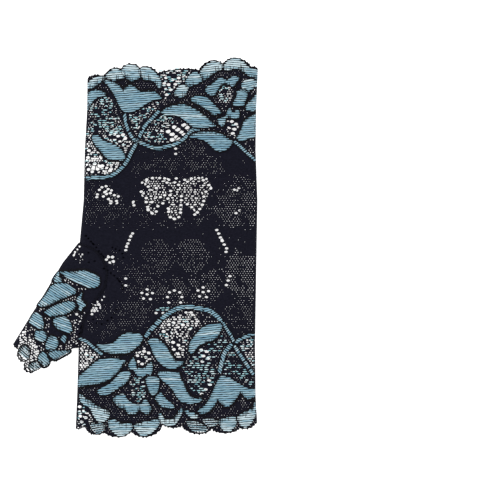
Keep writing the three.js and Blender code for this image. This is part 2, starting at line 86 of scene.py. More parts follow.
# Satin shapes: name, slant of the rows in degrees, the direction in degrees that the side shaded
# with comb-like ticks faces, and the outline
SATIN_SHAPES = [
    ("tulip_petals", 4, 90, [(-18.4, 91.2), (-15.7, 91.9), (-11.5, 90.4), (-8.6, 88.3), (-7.3, 86.6),
     (-5.6, 87.9), (-3.5, 89.3), (-1.4, 88.7), (1.1, 86.6), (2.8, 85.6), (4.9, 85.8), (8.7, 86),
     (11.2, 84.9), (14.2, 82), (10.8, 81.2), (7.4, 79.9), (4.1, 77.7), (0.3, 75.3), (-3.9, 74.4),
     (-6.9, 74.8), (-9.4, 78.2), (-11.5, 82.8), (-13.2, 85.8), (-16.1, 89.6)]),
    ("cuff_fold_leaf", 3, 60, [(-28.6, 83.2), (-26.7, 84.9), (-23.7, 86.4), (-19.9, 86.4), (-16.1, 84.1),
     (-19.9, 82.8), (-22.9, 81.2), (-25, 78.2), (-27.2, 74.7), (-28.6, 74.4)]),
    ("cuff_lobe_1", 6, -90, [(-27.5, 88.1), (-25.3, 91.4), (-22, 93.4), (-18.2, 93.9), (-16.5, 92.8),
     (-19.2, 91.2), (-22, 89), (-25.3, 87.3)]),
    ("cuff_lobe_2", 5, -90, [(-16.8, 93.4), (-15.1, 95.8), (-12.1, 97.8), (-8.2, 97.2), (-6.3, 95.6),
     (-6.6, 93.1), (-9.9, 92.3), (-13.8, 92)]),
    ("cuff_lobe_3", -3, -90, [(-7.7, 96.7), (-6.1, 99.4), (-3.3, 100.3), (-0.3, 99.7), (1.9, 97.5),
     (2.5, 94.7), (0.6, 92.3), (-2.8, 91.7), (-5.2, 93.1)]),
    ("cuff_lobe_4", -6, -90, [(1.9, 96.9), (3.9, 98.9), (6.6, 98.7), (9.4, 96.9), (11.8, 94.7),
     (13.5, 91.7), (13.9, 87.6), (12.4, 87.3), (10.7, 90.6), (7.7, 92.3), (4.1, 92.5)]),
    ("cuff_low_left_leaf", 2, -90, [(-24.3, 60.9), (-22, 62), (-19.9, 60.9), (-18.3, 58.8), (-14.9, 57.6),
     (-10.7, 55.9), (-8.1, 53.8), (-6.1, 50.4), (-6.4, 47.9), (-10.7, 47.9), (-14.9, 48.3), (-17.8, 50.4),
     (-19.9, 53.4), (-22.9, 56.7)]),
    ("cuff_long_leaf", -3, 90, [(14, 74.8), (17.4, 76.9), (21.6, 78.2), (27.1, 78.4), (31.3, 76.5),
     (35.1, 74.4), (38.9, 71.5), (42.2, 68.5), (44.3, 66.9), (40.5, 66), (35.1, 65.8), (31.3, 66.2),
     (29.2, 67.7), (26.7, 69.8), (23.7, 71.9), (20.8, 72.7), (16.6, 72.7), (14.5, 73.6)]),
    ("cuff_lower_leaf", 0, 90, [(29.2, 60.9), (32.1, 62.6), (35.9, 63.4), (40.5, 63.4), (44.3, 63.1),
     (48.1, 61.8), (51.1, 59.6), (53.2, 58.4), (52.4, 56.3), (50.7, 54.2), (47.7, 52.9), (44.8, 52.9),
     (42.2, 54.6), (40.2, 56.7), (38, 58.4), (35.5, 59.3), (33, 59.9), (30, 60.1)]),
    ("cuff_upper_leaf", -8, -90, [(30, 81.5), (33, 83.2), (35.9, 83.2), (39.3, 82), (42.2, 79.4),
     (44.3, 77.4), (46.9, 74), (45.2, 73.1), (42.2, 72.7), (40.2, 74.8), (37.6, 76.5), (34.3, 78.6),
     (31.3, 79.9)]),
    ("cuff_flower", 8, -60, [(38, 86.6), (39.6, 88.7), (42.4, 90.1), (44.3, 92.1), (46.4, 93.1), (49, 92.5),
     (49.8, 91.7), (52.4, 93.7), (54.5, 94), (57, 93.4), (55.3, 90.4), (53.2, 87.9), (51.9, 89.1), (49, 90),
     (46.4, 88.7), (44.8, 86.2), (43.9, 84.1), (42.2, 83.2), (39.3, 84.5)]),
    ("cuff_lobe_5", 4, -90, [(21.6, 83.2), (22.1, 86.6), (24.1, 88.7), (26.7, 89.1), (28.8, 87.9),
     (27.9, 85.3), (27.1, 83.2)]),
    ("cuff_lobe_6", 2, -90, [(27.1, 90), (28.8, 93.7), (31.3, 95.8), (33.8, 95.8), (35.9, 93.7),
     (36.6, 91.7), (34.3, 90.4), (30.9, 89.1), (28.8, 88.3)]),
    ("cuff_lobe_7", 6, -70, [(35.5, 96.3), (37.6, 99.2), (40.2, 101.3), (42.7, 102.2), (45.6, 101.6),
     (48.1, 99.4), (47.7, 98.4), (44.3, 96.7), (41.8, 95.2), (39.3, 93.1), (37.2, 92.4), (35.9, 94.1)]),
    ("cuff_lobe_8", -5, -90, [(48.3, 99.4), (50.2, 102.2), (52.7, 103.6), (55.7, 103.6), (59.1, 101.8),
     (61.6, 99.2), (63.7, 98.4), (65.4, 98.6), (67.5, 96.7), (67.5, 92.8), (64.5, 93.5), (61.6, 94.7),
     (59.1, 96.6), (57, 98.3), (53.6, 98.3), (51.1, 97.3), (49, 97.4)]),
    ("cuff_side_lobe", 10, 0, [(58.2, 89.6), (60.3, 91.7), (63.7, 92.1), (67.3, 91.2), (67.4, 89.1),
     (64.1, 87.4), (61.6, 85.8), (59.1, 86.6)]),
    ("cuff_block", 0, 180, [(55.7, 86.2), (60.8, 86.2), (61.2, 83.2), (59.9, 79.9), (59.1, 77.7),
     (55.3, 77.6), (53.2, 78.2), (54, 81.2), (55.3, 83.7)]),
    ("cuff_side_block", 6, 180, [(66.8, 84.1), (64.1, 82), (61.6, 79.4), (60.3, 75.7), (66.8, 75.7)]),
    ("cuff_low_right_leaf", 4, 150, [(66.8, 73.1), (63.7, 72.3), (60.8, 70.6), (59.1, 68.9), (58.2, 66.4),
     (56.5, 62.2), (55.3, 60.1), (57.8, 58.4), (61.2, 59.6), (66.8, 62.2)]),
    ("cuff_small_flower", 0, -90, [(50.2, 75.3), (51.9, 76.5), (52.7, 74.8), (54, 74.4), (55.3, 76.1),
     (56.5, 75.3), (57, 72.3), (55.7, 70.6), (53.6, 71), (51.1, 71.5), (49.4, 70.2), (49, 68.1),
     (48.1, 66.4), (46, 67.2), (44.8, 69.3), (45.6, 71), (48.6, 71.5), (49.8, 73.1)]),
    ("finger_arch_leaf", 3, -90, [(-21.5, -53.4), (-17.9, -53.7), (-13.3, -52.9), (-10.8, -50.9),
     (-8.7, -48.9), (-5.7, -47.3), (-1.1, -47.1), (2, -47.6), (4, -49.9), (3, -52.4), (0.4, -55),
     (-3.1, -57.5), (-7.2, -58.5), (-13.3, -58.5), (-17.9, -57), (-20.4, -55.5)]),
    ("finger_big_left_leaf", 3, -90, [(-31.9, -71.6), (-28.1, -68.2), (-24.5, -64.7), (-19.9, -61.6),
     (-14.3, -61.1), (-6.2, -62.1), (-6.7, -64.1), (-8.7, -67.2), (-11.3, -70.2), (-14.9, -72.8),
     (-19.9, -74.8), (-25, -75.8), (-30.6, -76.6), (-32.3, -76.3)]),
    ("finger_second_left_leaf", 6, -90, [(-21.5, -79.1), (-18.4, -76.9), (-14.3, -74.8), (-11.3, -71.7),
     (-8.2, -68.7), (-3.1, -68.7), (-3.6, -72.2), (-6.2, -75.3), (-10.2, -77.9), (-14.3, -80.4),
     (-18.4, -81.4), (-21, -80.4)]),
    ("finger_centre_leaf", -2, 0, [(6.5, -51.4), (10.1, -49.9), (13.1, -50.9), (16.3, -53.9), (18.8, -57.5),
     (20.8, -60.6), (22.4, -62.6), (26.5, -63.1), (24.4, -65.1), (21.8, -66.7), (18.8, -66.7),
     (15.7, -65.6), (12.2, -62.6), (9.6, -58.5), (8.1, -54.5)]),
    ("finger_small_flower", 0, 90, [(-4.1, -64.7), (-1.6, -60.6), (-0.1, -62.6), (0.4, -65.6), (4, -66.7),
     (7, -63.6), (9.1, -63.6), (9.1, -67.7), (8.1, -70.2), (6.1, -69.7), (4, -71.3), (0.4, -70.2),
     (-1.1, -67.7), (-2.6, -67.7)]),
    ("finger_block", 0, 180, [(5.5, -71.7), (12.2, -71.7), (12.7, -75.8), (11.6, -79.9), (9.1, -81.2),
     (7, -79.4), (6.1, -75.8)]),
    ("finger_small_leaf", -6, -90, [(10.6, -83), (13.6, -79.9), (16.3, -83), (19.8, -86), (21.3, -88),
     (17.3, -88.5), (13.2, -87)]),
    ("finger_low_centre_leaf", -3, 45, [(12.4, -68.7), (22.9, -68.7), (24.9, -72.2), (27, -76.3),
     (28.5, -79.4), (31, -82.4), (36.6, -83), (35.1, -85), (30.5, -86), (25.4, -85), (22.4, -82.4),
     (20.4, -78.9), (17.8, -75.8), (14.7, -73.3)]),
    ("finger_fan", 0, -90, [(-12.8, -83.5), (-9.2, -80.9), (-6.2, -80.9), (-5.2, -83), (-3.1, -85),
     (0.4, -86.5), (3, -86), (5, -83), (7.5, -86.5), (8.6, -89.1), (7, -91.6), (4.5, -91.1), (2, -89.6),
     (0.4, -91.1), (-2.1, -92.1), (-4.7, -91.1), (-6.2, -89.1), (-9.2, -88), (-11.3, -86)]),
    ("finger_lobe_1", -10, 90, [(-30.9, -80.4), (-28.1, -83), (-24.5, -85), (-21.5, -87.5), (-15.3, -90.1),
     (-14.9, -93.1), (-17.4, -95.7), (-19.9, -96.2), (-21.9, -94.6), (-24, -91.1), (-25.5, -88),
     (-28.5, -86.5), (-30.6, -84.5)]),
    ("finger_lobe_2", 8, 90, [(-25, -97.3), (-21.5, -96.8), (-17.4, -97.5), (-18, -100.7), (-21.1, -102.3),
     (-23.8, -100.7)]),
    ("finger_lobe_3", 2, 90, [(-14.9, -95.2), (-12.3, -94.6), (-8.2, -96.7), (-3.1, -96.7), (-1.7, -98.7),
     (-4.1, -101.8), (-7.2, -103.6), (-9.7, -103.6), (-12.3, -101.6), (-14.6, -99)]),
    ("finger_lobe_4", -2, 90, [(-1.1, -98.2), (2.5, -96.7), (7, -95.7), (12.1, -94.6), (13.1, -96.2),
     (10.6, -100.2), (7, -102.8), (3, -103.3), (0.9, -101.3)]),
    ("finger_right_leaf", 6, -90, [(29, -56.5), (29.5, -52.9), (32, -48.9), (35.6, -44.8), (39.2, -42.8),
     (43.7, -42.3), (47.3, -42.3), (46.8, -45.8), (44.8, -49.4), (41.7, -51.4), (38.1, -52.4),
     (35.1, -53.9), (32.6, -56.5), (31, -58.5), (29, -57.5)]),
    ("finger_big_petal", 2, -90, [(34, -89.6), (37.1, -87.5), (40.7, -82.4), (43.7, -75.8), (45.8, -71.7),
     (47.3, -70.8), (50.9, -71.3), (53.9, -73.3), (57.5, -75.3), (61.1, -77.4), (66.2, -78.3),
     (66.2, -81.9), (62, -83.5), (59.5, -82.4), (57.5, -79.9), (55.9, -82.4), (53.9, -85), (51.4, -87.5),
     (48.8, -87.5), (46.3, -85.5), (44.8, -84.5), (42.7, -88), (39.7, -90.6), (35.6, -91.6)]),
    ("finger_lobe_5", 0, 90, [(27, -89.6), (30, -90.6), (33.6, -92.1), (33.6, -93.6), (31, -93.9),
     (28.5, -92.1)]),
    ("finger_lobe_6", 3, 90, [(13.2, -91.1), (16.3, -94.6), (20.8, -94.1), (24.4, -89.1), (25.9, -89.6),
     (23.4, -94.6), (20.8, -97.7), (17.3, -97.7), (13.2, -95.7)]),
    ("finger_lobe_7", -4, 90, [(27.9, -95.7), (31, -95.7), (35.1, -96.7), (39.2, -99.7), (37.6, -101.5),
     (33.6, -101.7), (30.5, -100.3)]),
    ("finger_lobe_8", 2, 90, [(36.9, -94.6), (41.7, -94.6), (45.8, -95.7), (44.8, -97.2), (41.2, -98.5),
     (38.7, -97.7)]),
    ("finger_lobe_9", 0, 90, [(46.3, -94.6), (53.9, -93.6), (55.2, -95.2), (53.9, -99.2), (50.9, -101.3),
     (47.8, -100.3), (46.3, -97.2)]),
    ("finger_lobe_10", 4, 150, [(55.9, -93.6), (59, -91.1), (63.1, -89.1), (66.1, -84.5), (66.9, -87.5),
     (65.4, -92.6), (63.6, -96.2), (61.1, -98.7), (58.5, -98.5), (56.4, -95.7)]),
]

# The thumb's satin shapes, as above
THUMB_SHAPES = [
    ("thumb_top_petal", -24, 90, [(-41.9, -13.3), (-35.5, -13.3), (-29.2, -12.6), (-24.3, -13.7),
     (-20.4, -16.1), (-19.7, -18.9), (-20.8, -21.7), (-24.3, -22.4), (-29.2, -21.7), (-34.1, -18.9),
     (-39, -16.1)]),
    ("thumb_side_bit", -30, 0, [(-45.2, -16.4), (-42.5, -13.3), (-41.9, -16.1), (-40.4, -18.9),
     (-46, -19.1)]),
    ("thumb_outer_leaf", -32, -90, [(-45.9, -20.5), (-39.7, -19.6), (-35.5, -21.7), (-32.3, -24.5),
     (-35.5, -26.6), (-41.1, -28.7), (-46.8, -31.5), (-51.6, -32.9), (-54.5, -32.3), (-51.6, -28.1),
     (-48.8, -24.3)]),
    ("thumb_middle_leaf", -34, -90, [(-50.6, -35.7), (-46.8, -32.9), (-41.9, -30.8), (-36.6, -29.5),
     (-33.1, -31.5), (-34.1, -34.3), (-39.7, -37.2), (-46.8, -38.2), (-49.6, -37.5)]),
    ("thumb_star", -30, 0, [(-32.7, -28), (-29.2, -24.5), (-29.9, -28.7), (-27.1, -31.5), (-29.2, -33.6),
     (-29.9, -35.7), (-32, -35.1), (-31.3, -32.3), (-32.7, -30.1)]),
    ("thumb_inner_petal", -20, -135, [(-45.8, -40.2), (-42.2, -37.6), (-38.3, -38.5), (-35.8, -41.7),
     (-35, -46.1), (-38.3, -47.5), (-42.4, -45.4), (-45, -42.9)]),
    ("thumb_outer_petal", -30, -30, [(-58.7, -39.8), (-55.9, -35.8), (-52.7, -36.9), (-50.5, -40.8),
     (-51.3, -45.3), (-55.3, -44.6), (-58.5, -41.9)]),
    ("thumb_low_petal_1", -25, 50, [(-55.3, -46.1), (-51.9, -45.4), (-48.8, -47.8), (-49.6, -51.2),
     (-53.1, -52.3), (-55.7, -50.4)]),
    ("thumb_low_petal_2", -20, 80, [(-48.7, -50.4), (-46.3, -48.3), (-42.7, -50.9), (-43.5, -55.4),
     (-48.1, -57.2), (-49.9, -54.3)]),
    ("thumb_low_bit", -44, 0, [(-41.7, -50.4), (-39, -47.8), (-38.1, -50), (-39.7, -53.8)]),
    ("thumb_edge_petal_1", -40, -90, [(-47.9, -56.5), (-42.5, -56.8), (-35.8, -57), (-41.1, -60.3),
     (-44.7, -61.9), (-47.3, -60.7)]),
    ("thumb_edge_petal_2", -40, -90, [(-53.6, -59.6), (-50.6, -57.1), (-48.6, -60.6), (-47.6, -63.9),
     (-50.9, -65.8), (-53.6, -62.8)]),
    ("thumb_tip_lobe_1", -40, 90, [(-64.6, -56.3), (-61.9, -54), (-59.1, -54.9), (-58.5, -57.8),
     (-59.4, -61.6), (-61.9, -61.8), (-64.1, -59)]),
    ("thumb_tip_lobe_2", -40, 90, [(-58.7, -64.2), (-55, -62.8), (-51.7, -63.8), (-52.5, -66.1),
     (-54.9, -67.7), (-57.4, -68.1), (-59.2, -66.7)]),
]

# Vines: name, width and the line that each follows
STEMS = [
    ("cuff_vine_left_up", 2.2, [(-6.4, 73.8), (-5.6, 68.5), (-3.9, 63.4), (-1.4, 59.6), (0.7, 58)]),
    ("cuff_vine_right_up", 2.3, [(13.1, 75.4), (8.7, 70.6), (4.5, 66), (2, 60.9), (0.7, 58)]),
    ("cuff_vine_left", 2.4, [(0.7, 58), (-2.9, 51.5), (-4.7, 47.7), (-8.5, 43), (-14.2, 39.2),
     (-21.8, 38.3), (-29, 38.3)]),
    ("cuff_vine_right", 2.3, [(0.7, 58), (4.5, 56.7), (8.7, 55), (13.8, 54.8), (17.4, 55.5), (21.6, 56.7),
     (25.9, 59.3), (28.8, 62.2), (30.9, 64.3), (35.1, 64.7)]),
    ("cuff_side_vine", 2.0, [(53.6, 58.4), (56.5, 56.3), (59.5, 53.4), (62.4, 50.8), (66.5, 47.2)]),
    ("finger_band", 2.0, [(-31.4, -50.1), (-27.5, -51.6), (-24.2, -54.3), (-21.5, -56.5), (-18.2, -59.3)]),
    ("finger_arch", 2.8, [(4.7, -49.9), (8.1, -45.5), (10.7, -42.8), (13.2, -40.2), (16.8, -37.2),
     (20.8, -34.6), (24.9, -33.1), (30, -32.8), (35.1, -33.6), (39.7, -34.6), (43.7, -37.2),
     (47.3, -40.7)]),
    ("finger_arch_end", 2.0, [(47.3, -40.7), (49.8, -44.8), (52.4, -48.9), (53.9, -52.4)]),
    ("finger_branch_right", 2.3, [(54.5, -52.7), (57.5, -50.4), (61.1, -48.9), (65.4, -47.8)]),
    ("finger_branch_left", 2.8, [(52.4, -53.4), (48.8, -58), (47.3, -62.6), (45.8, -69.2)]),
    ("finger_branch_down", 2.2, [(54.1, -54.1), (57.5, -59.5), (61.1, -64.7), (65.1, -70.8)]),
]

# Windows of coarse net: name, how open they are, and the outline
WINDOWS = [
    ("above_arch", 0.3, [(6.6, -34), (12.1, -32.6), (19.8, -32.8), (18.7, -35.1), (13.2, -35.6),
     (7.7, -35.3)]),
    ("cuff_oval", 0.62, [(-26.4, 74.4), (-24.2, 79.3), (-20.9, 81.8), (-16.5, 82.9), (-13.2, 81.8),
     (-11, 77.7), (-9.1, 73.3), (-8, 67.8), (-6.6, 63.4), (-9.4, 61.7), (-16.5, 62.3), (-22, 63.9),
     (-26.4, 62.8)]),
    ("cuff_oval_low", 0.85, [(-17.6, 62.3), (-13.2, 64.5), (-8.2, 63.9), (-5, 60.6), (-2.5, 57.9),
     (-3.9, 53.5), (-6.1, 51.8), (-8.8, 55.1), (-13.2, 57.9), (-17.6, 59.8)]),
    ("cuff_edge_low", 1.05, [(-28.6, 62.8), (-24.8, 61.2), (-23.1, 56.2), (-19.8, 52.4), (-17.6, 49.1),
     (-13.2, 47.2), (-8.8, 46.1), (-12.7, 41.9), (-19.8, 40), (-28.6, 40)]),
    ("cuff_fan", 0.6, [(-5, 72.7), (0, 74.1), (5.5, 77.4), (10.5, 79.9), (14.3, 81), (11.6, 76.6),
     (7.7, 72.2), (3.3, 67.2), (0.6, 62.3), (-1.9, 63.9), (-3.9, 68.3)]),
    ("cuff_centre", 0.7, [(6.6, 66.4), (13.2, 72.3), (19.5, 71.5), (22, 69.7), (19.8, 66.7), (16.2, 64.5),
     (16.2, 61.2), (19, 58), (15.7, 57.3), (4.5, 58.4), (3.4, 60.9)]),
    ("cuff_centre_bright", 0.6, [(20.4, 69.2), (23.3, 68.8), (26.8, 66.3), (29.2, 64.7), (26.8, 62.3),
     (23.9, 60.4), (20.2, 58.8), (18.2, 60.9), (16.8, 63.4)]),
    ("cuff_top", 0.9, [(11.6, 96.4), (14.9, 98.6), (19.8, 99.1), (24.2, 98.6), (29.7, 96.4), (25.9, 90.9),
     (22, 88.1), (19.8, 83.7), (16, 82.1), (14, 85.4), (13.2, 89.8)]),
    ("cuff_beside_flower", 0.95, [(49.2, 68.1), (51.1, 70.5), (53.6, 70.5), (56.7, 69.3), (56.7, 66.4),
     (55.7, 63.1), (54.5, 60.3), (52.4, 61.5), (49.5, 64.7)]),
    ("cuff_flower_disc", 0.72, [(44.6, 85.9), (46.2, 88.1), (49, 89), (51.7, 88.1), (53.4, 85.9),
     (53.6, 83.2), (52.3, 80.4), (49.5, 79.3), (46.5, 80.1), (44.6, 82.6)]),
    ("finger_left", 1.0, [(-30.4, -52.9), (-27.1, -53.4), (-24, -57), (-21, -60), (-24, -63.1),
     (-27.6, -66.1), (-30.9, -69.2), (-31.8, -69.7)]),
    ("finger_small_flower_above", 1.1, [(-1.1, -59.5), (4, -55.5), (8.1, -57.5), (9.1, -61.6), (6.1, -64.7),
     (2.5, -65.1), (-0.1, -62.6)]),
    ("finger_ring", 0.62, [(-3, -73), (0, -71.3), (3.6, -71.9), (5.5, -74.9), (6.1, -79.1), (5.1, -83.2),
     (2.2, -85.7), (-1.4, -84.6), (-3.4, -81.3), (-4, -76.9)]),
    ("finger_arch_inside", 0.92, [(13.7, -42.3), (18.3, -38.7), (25.9, -36.7), (32.6, -35.6), (33.6, -38.2),
     (34.6, -41.2), (31, -45.8), (29, -49.4), (28.5, -52.9), (27.4, -57.5), (23.4, -61.6), (21.3, -59.5),
     (18.8, -53.9), (13.2, -50.3)]),
    ("finger_stem_side", 0.43, [(31, -59), (34.6, -54.5), (41.7, -52.4), (46.3, -46.3), (50.5, -52.4),
     (47.4, -57.8), (44.8, -70.2), (41.2, -77.9), (36.6, -81.9), (33.1, -81.4), (30, -78.3), (26.8, -72.7),
     (24.3, -68.1), (26.7, -63.9)]),
    ("finger_between_stems", 0.42, [(49.9, -60.6), (53, -56.5), (55.4, -58.6), (58, -62.7), (61.1, -67.2),
     (64.6, -72.4), (65.2, -76.3), (60, -75.3), (56.4, -72.2), (52.9, -70.2), (47.7, -68.6)]),
    ("finger_right", 0.75, [(56.4, -54.5), (60, -51.4), (65.2, -49.9), (65.2, -67.6), (62, -63),
     (59, -58.4)]),
    ("finger_left_low", 0.9, [(-32.1, -86.5), (-28.6, -87.9), (-25.5, -90.3), (-23.7, -93.6), (-22, -95.6),
     (-25.5, -96.3), (-28.6, -98.1), (-32.5, -99)]),
]

# Fields of finer holes in the dark ground: name, how open, and the outline
FINE_FIELDS = [
    ("butterfly", 0.53, [(3, 35.3), (5.1, 37.9), (7.7, 38.7), (11, 39), (14.4, 39.2), (16.9, 38.4),
     (18.9, 37.1), (20.6, 36.7), (22.1, 38.7), (23.6, 37), (24.7, 35.1), (25.9, 36.5), (27.4, 37.8),
     (29.7, 38.6), (33.4, 39), (36.7, 38.6), (38.9, 37.6), (40.9, 34.8), (41.7, 32.3), (40.1, 30.4),
     (39.4, 28.5), (38.1, 25.8), (37.3, 23), (35.5, 20.8), (34.1, 18.7), (32.3, 17.4), (31.4, 19.8),
     (29.9, 21.5), (27.9, 23.1), (26, 24.7), (24.9, 23.8), (25.8, 20.8), (25.5, 18.5), (23.5, 16.1),
     (21.3, 14.9), (18.6, 16.1), (17.1, 18.8), (16.6, 21.3), (18, 23.8), (16.7, 25.4), (14.8, 23.5),
     (12.8, 21.8), (11.5, 19.4), (10.3, 17.4), (7.9, 18.7), (5.9, 20.5), (4.9, 22.8), (4.2, 25.4),
     (2.9, 28.5), (1.6, 30.4), (3.5, 31.9), (5.3, 32.7), (4.3, 33.8), (2.7, 34.6)]),
    ("left_cluster", 0.4, [(-23.1, 33.1), (-19.2, 34.5), (-15.4, 33.7), (-12.1, 31.2), (-8.8, 28.7),
     (-9.4, 24.3), (-12.9, 23.5), (-16, 26.3), (-20.9, 27.4), (-23.7, 29.8)]),
    ("upper_speckle", 0.34, [(-4.4, 39.2), (0, 44.7), (7.7, 47.4), (14.9, 49.1), (23.1, 49.6), (31.4, 49.1),
     (39.6, 48), (47.3, 46.3), (49.5, 42.5), (42.9, 40.3), (29.7, 41.4), (16, 41.4), (6.6, 41.4)]),
    ("upper_dense_speckle", 0.4, [(29.7, 58.4), (34.1, 58.2), (38.5, 55.7), (42.4, 51.8), (38.5, 49.1),
     (30.8, 50.2), (25.3, 53.5), (22, 54.6)]),
    ("left_speckle", 0.3, [(-28.6, 33.7), (-23.7, 34.8), (-19.8, 26), (-9.9, 22.7), (-2.8, 26), (0, 20.5),
     (-5.5, 13.9), (-14.3, 12.8), (-24.2, 12.8), (-29.2, 15)]),
    ("right_speckle", 0.36, [(45.1, 31.5), (52.8, 37), (60.5, 38.6), (66, 34.8), (66, 12.8), (59.4, 10.6),
     (50.6, 11.7), (45.1, 19.4)]),
    ("middle_speckle", 0.2, [(-2.8, 14.4), (5.5, 17.2), (12.1, 18.3), (7.7, 13.9), (2.2, 11.1),
     (-2.8, 9.5)]),
    ("butterfly_shadow", 0.3, [(0, 22.7), (5.5, 18.3), (12.1, 15), (17.6, 13.9), (25.3, 14.4), (33, 15.5),
     (38.5, 18.3), (42.9, 22.7), (46.2, 19.4), (41.8, 15), (33, 12.8), (22, 12.2), (11, 12.8),
     (3.3, 16.6)]),
    ("left_wide_field", 0.22, [(-5.5, -2.6), (2.2, -8.1), (3.3, -18), (-2.2, -26.8), (-8.8, -23.5),
     (-9.9, -12.5)]),
    ("ring_left", 0.34, [(3.1, -5), (5, 0.7), (9.4, 3.5), (14.9, 3.2), (19.2, -0.1), (20.7, -5),
     (19.2, -10.3), (14.9, -13.5), (9.4, -13.6), (5, -10.9)]),
    ("ring_right", 0.33, [(22.3, -4.3), (24.2, 1.2), (28.6, 4.2), (33.6, 4), (38, 0.7), (39.9, -4.3),
     (38, -9.8), (33.6, -12.8), (28.6, -13), (24.2, -9.8)]),
    ("right_field", 0.45, [(49.5, -8.1), (57.2, -2.6), (63.8, -4.8), (65.6, -13.6), (65.3, -27.9),
     (59.4, -30.1), (53.9, -26.8), (49.5, -18)]),
    ("lower_speckle", 0.36, [(-4.4, -12.5), (3.3, -14.7), (12.1, -16.9), (22, -18), (33, -16.9),
     (42.9, -12.5), (47.3, -18), (42.9, -29), (33, -30.7), (13.2, -29), (-1.1, -27.9), (-5.5, -21.3)]),
    ("arch_field", 0.36, [(-24.2, -38.9), (-17.6, -33.4), (-6.6, -29), (5.5, -29), (7.7, -38.9),
     (2.2, -44.4), (-7.7, -45.5), (-17.6, -49.9), (-23.1, -47.7)]),
    ("right_low_field", 0.3, [(48.4, -32.3), (57.2, -31.2), (65.5, -32.3), (65.5, -45.5), (59.4, -46.6),
     (52.8, -43.3)]),
    ("small_flower_left", 0.4, [(2.5, -23.5), (5.5, -22.1), (8.8, -22.7), (10.2, -25.7), (8.8, -29),
     (5.5, -29.6), (2.8, -27.9)]),
    ("small_flower_right", 0.4, [(33.6, -22.7), (36.9, -21), (40.2, -21.6), (41.2, -24.6), (39.6, -27.9),
     (36.3, -28.9), (33.7, -26.8)]),
    ("bright_ring", 0.42, [(16.2, -27.9), (17.6, -24.3), (21.2, -23), (24.8, -24.3), (26.2, -27.9),
     (24.8, -31.8), (21.2, -32.9), (17.6, -31.5)]),
    ("cuff_lobe_dots", 0.48, [(-18.2, 92), (-13.2, 92), (-7.7, 92), (-2.8, 91.4), (2.2, 92.3), (7.7, 91.4),
     (11, 88.7), (12.1, 85.4), (8.8, 85.9), (4.4, 85.9), (0.6, 87.6), (-3.3, 89.8), (-7.7, 88.1),
     (-13.2, 90.3), (-17.6, 90.3)]),
    ("cuff_right_dots", 0.48, [(28.1, 85.4), (29.2, 88.7), (34.1, 90.3), (38.5, 92.5), (42.9, 95.3),
     (48.4, 96.4), (55, 97.5), (58.9, 95.3), (61.6, 93.6), (57.2, 94.2), (51.7, 94.2), (45.1, 93.1),
     (40.7, 90.3), (37.4, 86.5), (33, 83.7), (28.6, 82.6)]),
    ("cuff_fold_dots", 0.45, [(-27.5, 87.6), (-24.2, 85.9), (-18.2, 85.4), (-15.4, 81), (-17.6, 82.1),
     (-22.6, 85.9), (-27.5, 85.4)]),
    ("finger_left_dots", 0.48, [(-31.4, -79.6), (-27.5, -78), (-22, -80.7), (-15.4, -82.9), (-12.7, -85.1),
     (-8.8, -91.7), (-14.3, -94.5), (-20.9, -86.2), (-27.5, -83.5)]),
    ("finger_fan_dots", 0.48, [(-14.3, -92.3), (-8.8, -93.4), (-2.2, -93.9), (3.3, -92.8), (8.8, -91.7),
     (12.1, -93.4), (7.7, -96.1), (1.1, -97.8), (-6.6, -97.2), (-13.2, -95.6)]),
    ("finger_right_dots", 0.46, [(35.2, -90.6), (42.9, -89.5), (49.5, -87.3), (53.9, -90.6), (62.7, -86.2),
     (66, -84), (63.8, -90.6), (57.2, -93.4), (48.4, -93.9), (38.5, -94.5)]),
    ("leaf_side_dots", 0.45, [(-30.8, -78), (-24.2, -76.9), (-17.6, -74.7), (-13.2, -71.9), (-8.8, -69.2),
     (-13.2, -74.1), (-19.8, -76.9), (-26.4, -79.1), (-30.8, -79.6)]),
    ("left_dots", 0.4, [(-16.7, -4.5), (-14.2, -3.9), (-11.7, -5.4), (-11.9, -8.3), (-14.3, -9.1),
     (-16.5, -7.8)]),
]

# The middles of single holes: the largest, the wide, the common and the small ones
LARGEST_EYELETS = [
    (26.3, 67.3), (28, 65.9), (21, 66.1), (22.9, 64.8), (24.7, 63.6), (26.4, 62.3), (17.7, 63.7),
    (19.8, 62.2), (21.7, 60.9), (23.5, 59.5), (19.8, 59.2), (29.4, 64.5),
]
WIDE_EYELETS = [
    (-13, -5.4), (-12.6, -7.8), (-9.9, 61.2), (-7.2, 62), (-9, 58.1), (-5.9, 59.9), (-11.8, 62.2),
    (-25.9, 53.2), (-26.4, 49.4), (-22.8, 46), (-26.1, 42.8), (-21.2, 43), (-18.5, 44.9), (-24.2, 41.6),
    (16.5, 93.3), (20.1, 92.3), (23.4, 93.2), (17.9, 89.5), (21.6, 89.7), (15.6, 90.3), (19, 86.7),
    (16.9, 84), (52.7, 69.2), (55, 67.8), (51.4, 65.9), (54.2, 65), (53.2, 62.7), (35.8, -56.6),
    (38.9, -57.4), (37, -59.8), (39.6, -61.2), (36.5, -62.8), (40.2, -73.3), (40.7, -75.7), (36.1, -80.8),
    (38.3, -78.3), (0.8, -59.6), (4.4, -57.3), (1.1, -62.9), (5.3, -60.6), (3.3, -64.2), (6.9, -58.2),
    (11.8, -36.3), (14.7, -36.2), (27.6, -35.6), (30.4, -35.8), (-31, -87.8), (-28.8, -90.2), (-30.7, -93),
    (-27.7, -93.8), (-30, -96.1), (15.2, -46.3), (20.6, -41.6), (25.7, -42.7), (20.4, -52.3), (23.3, -53.8),
    (20.8, -56.2),
]
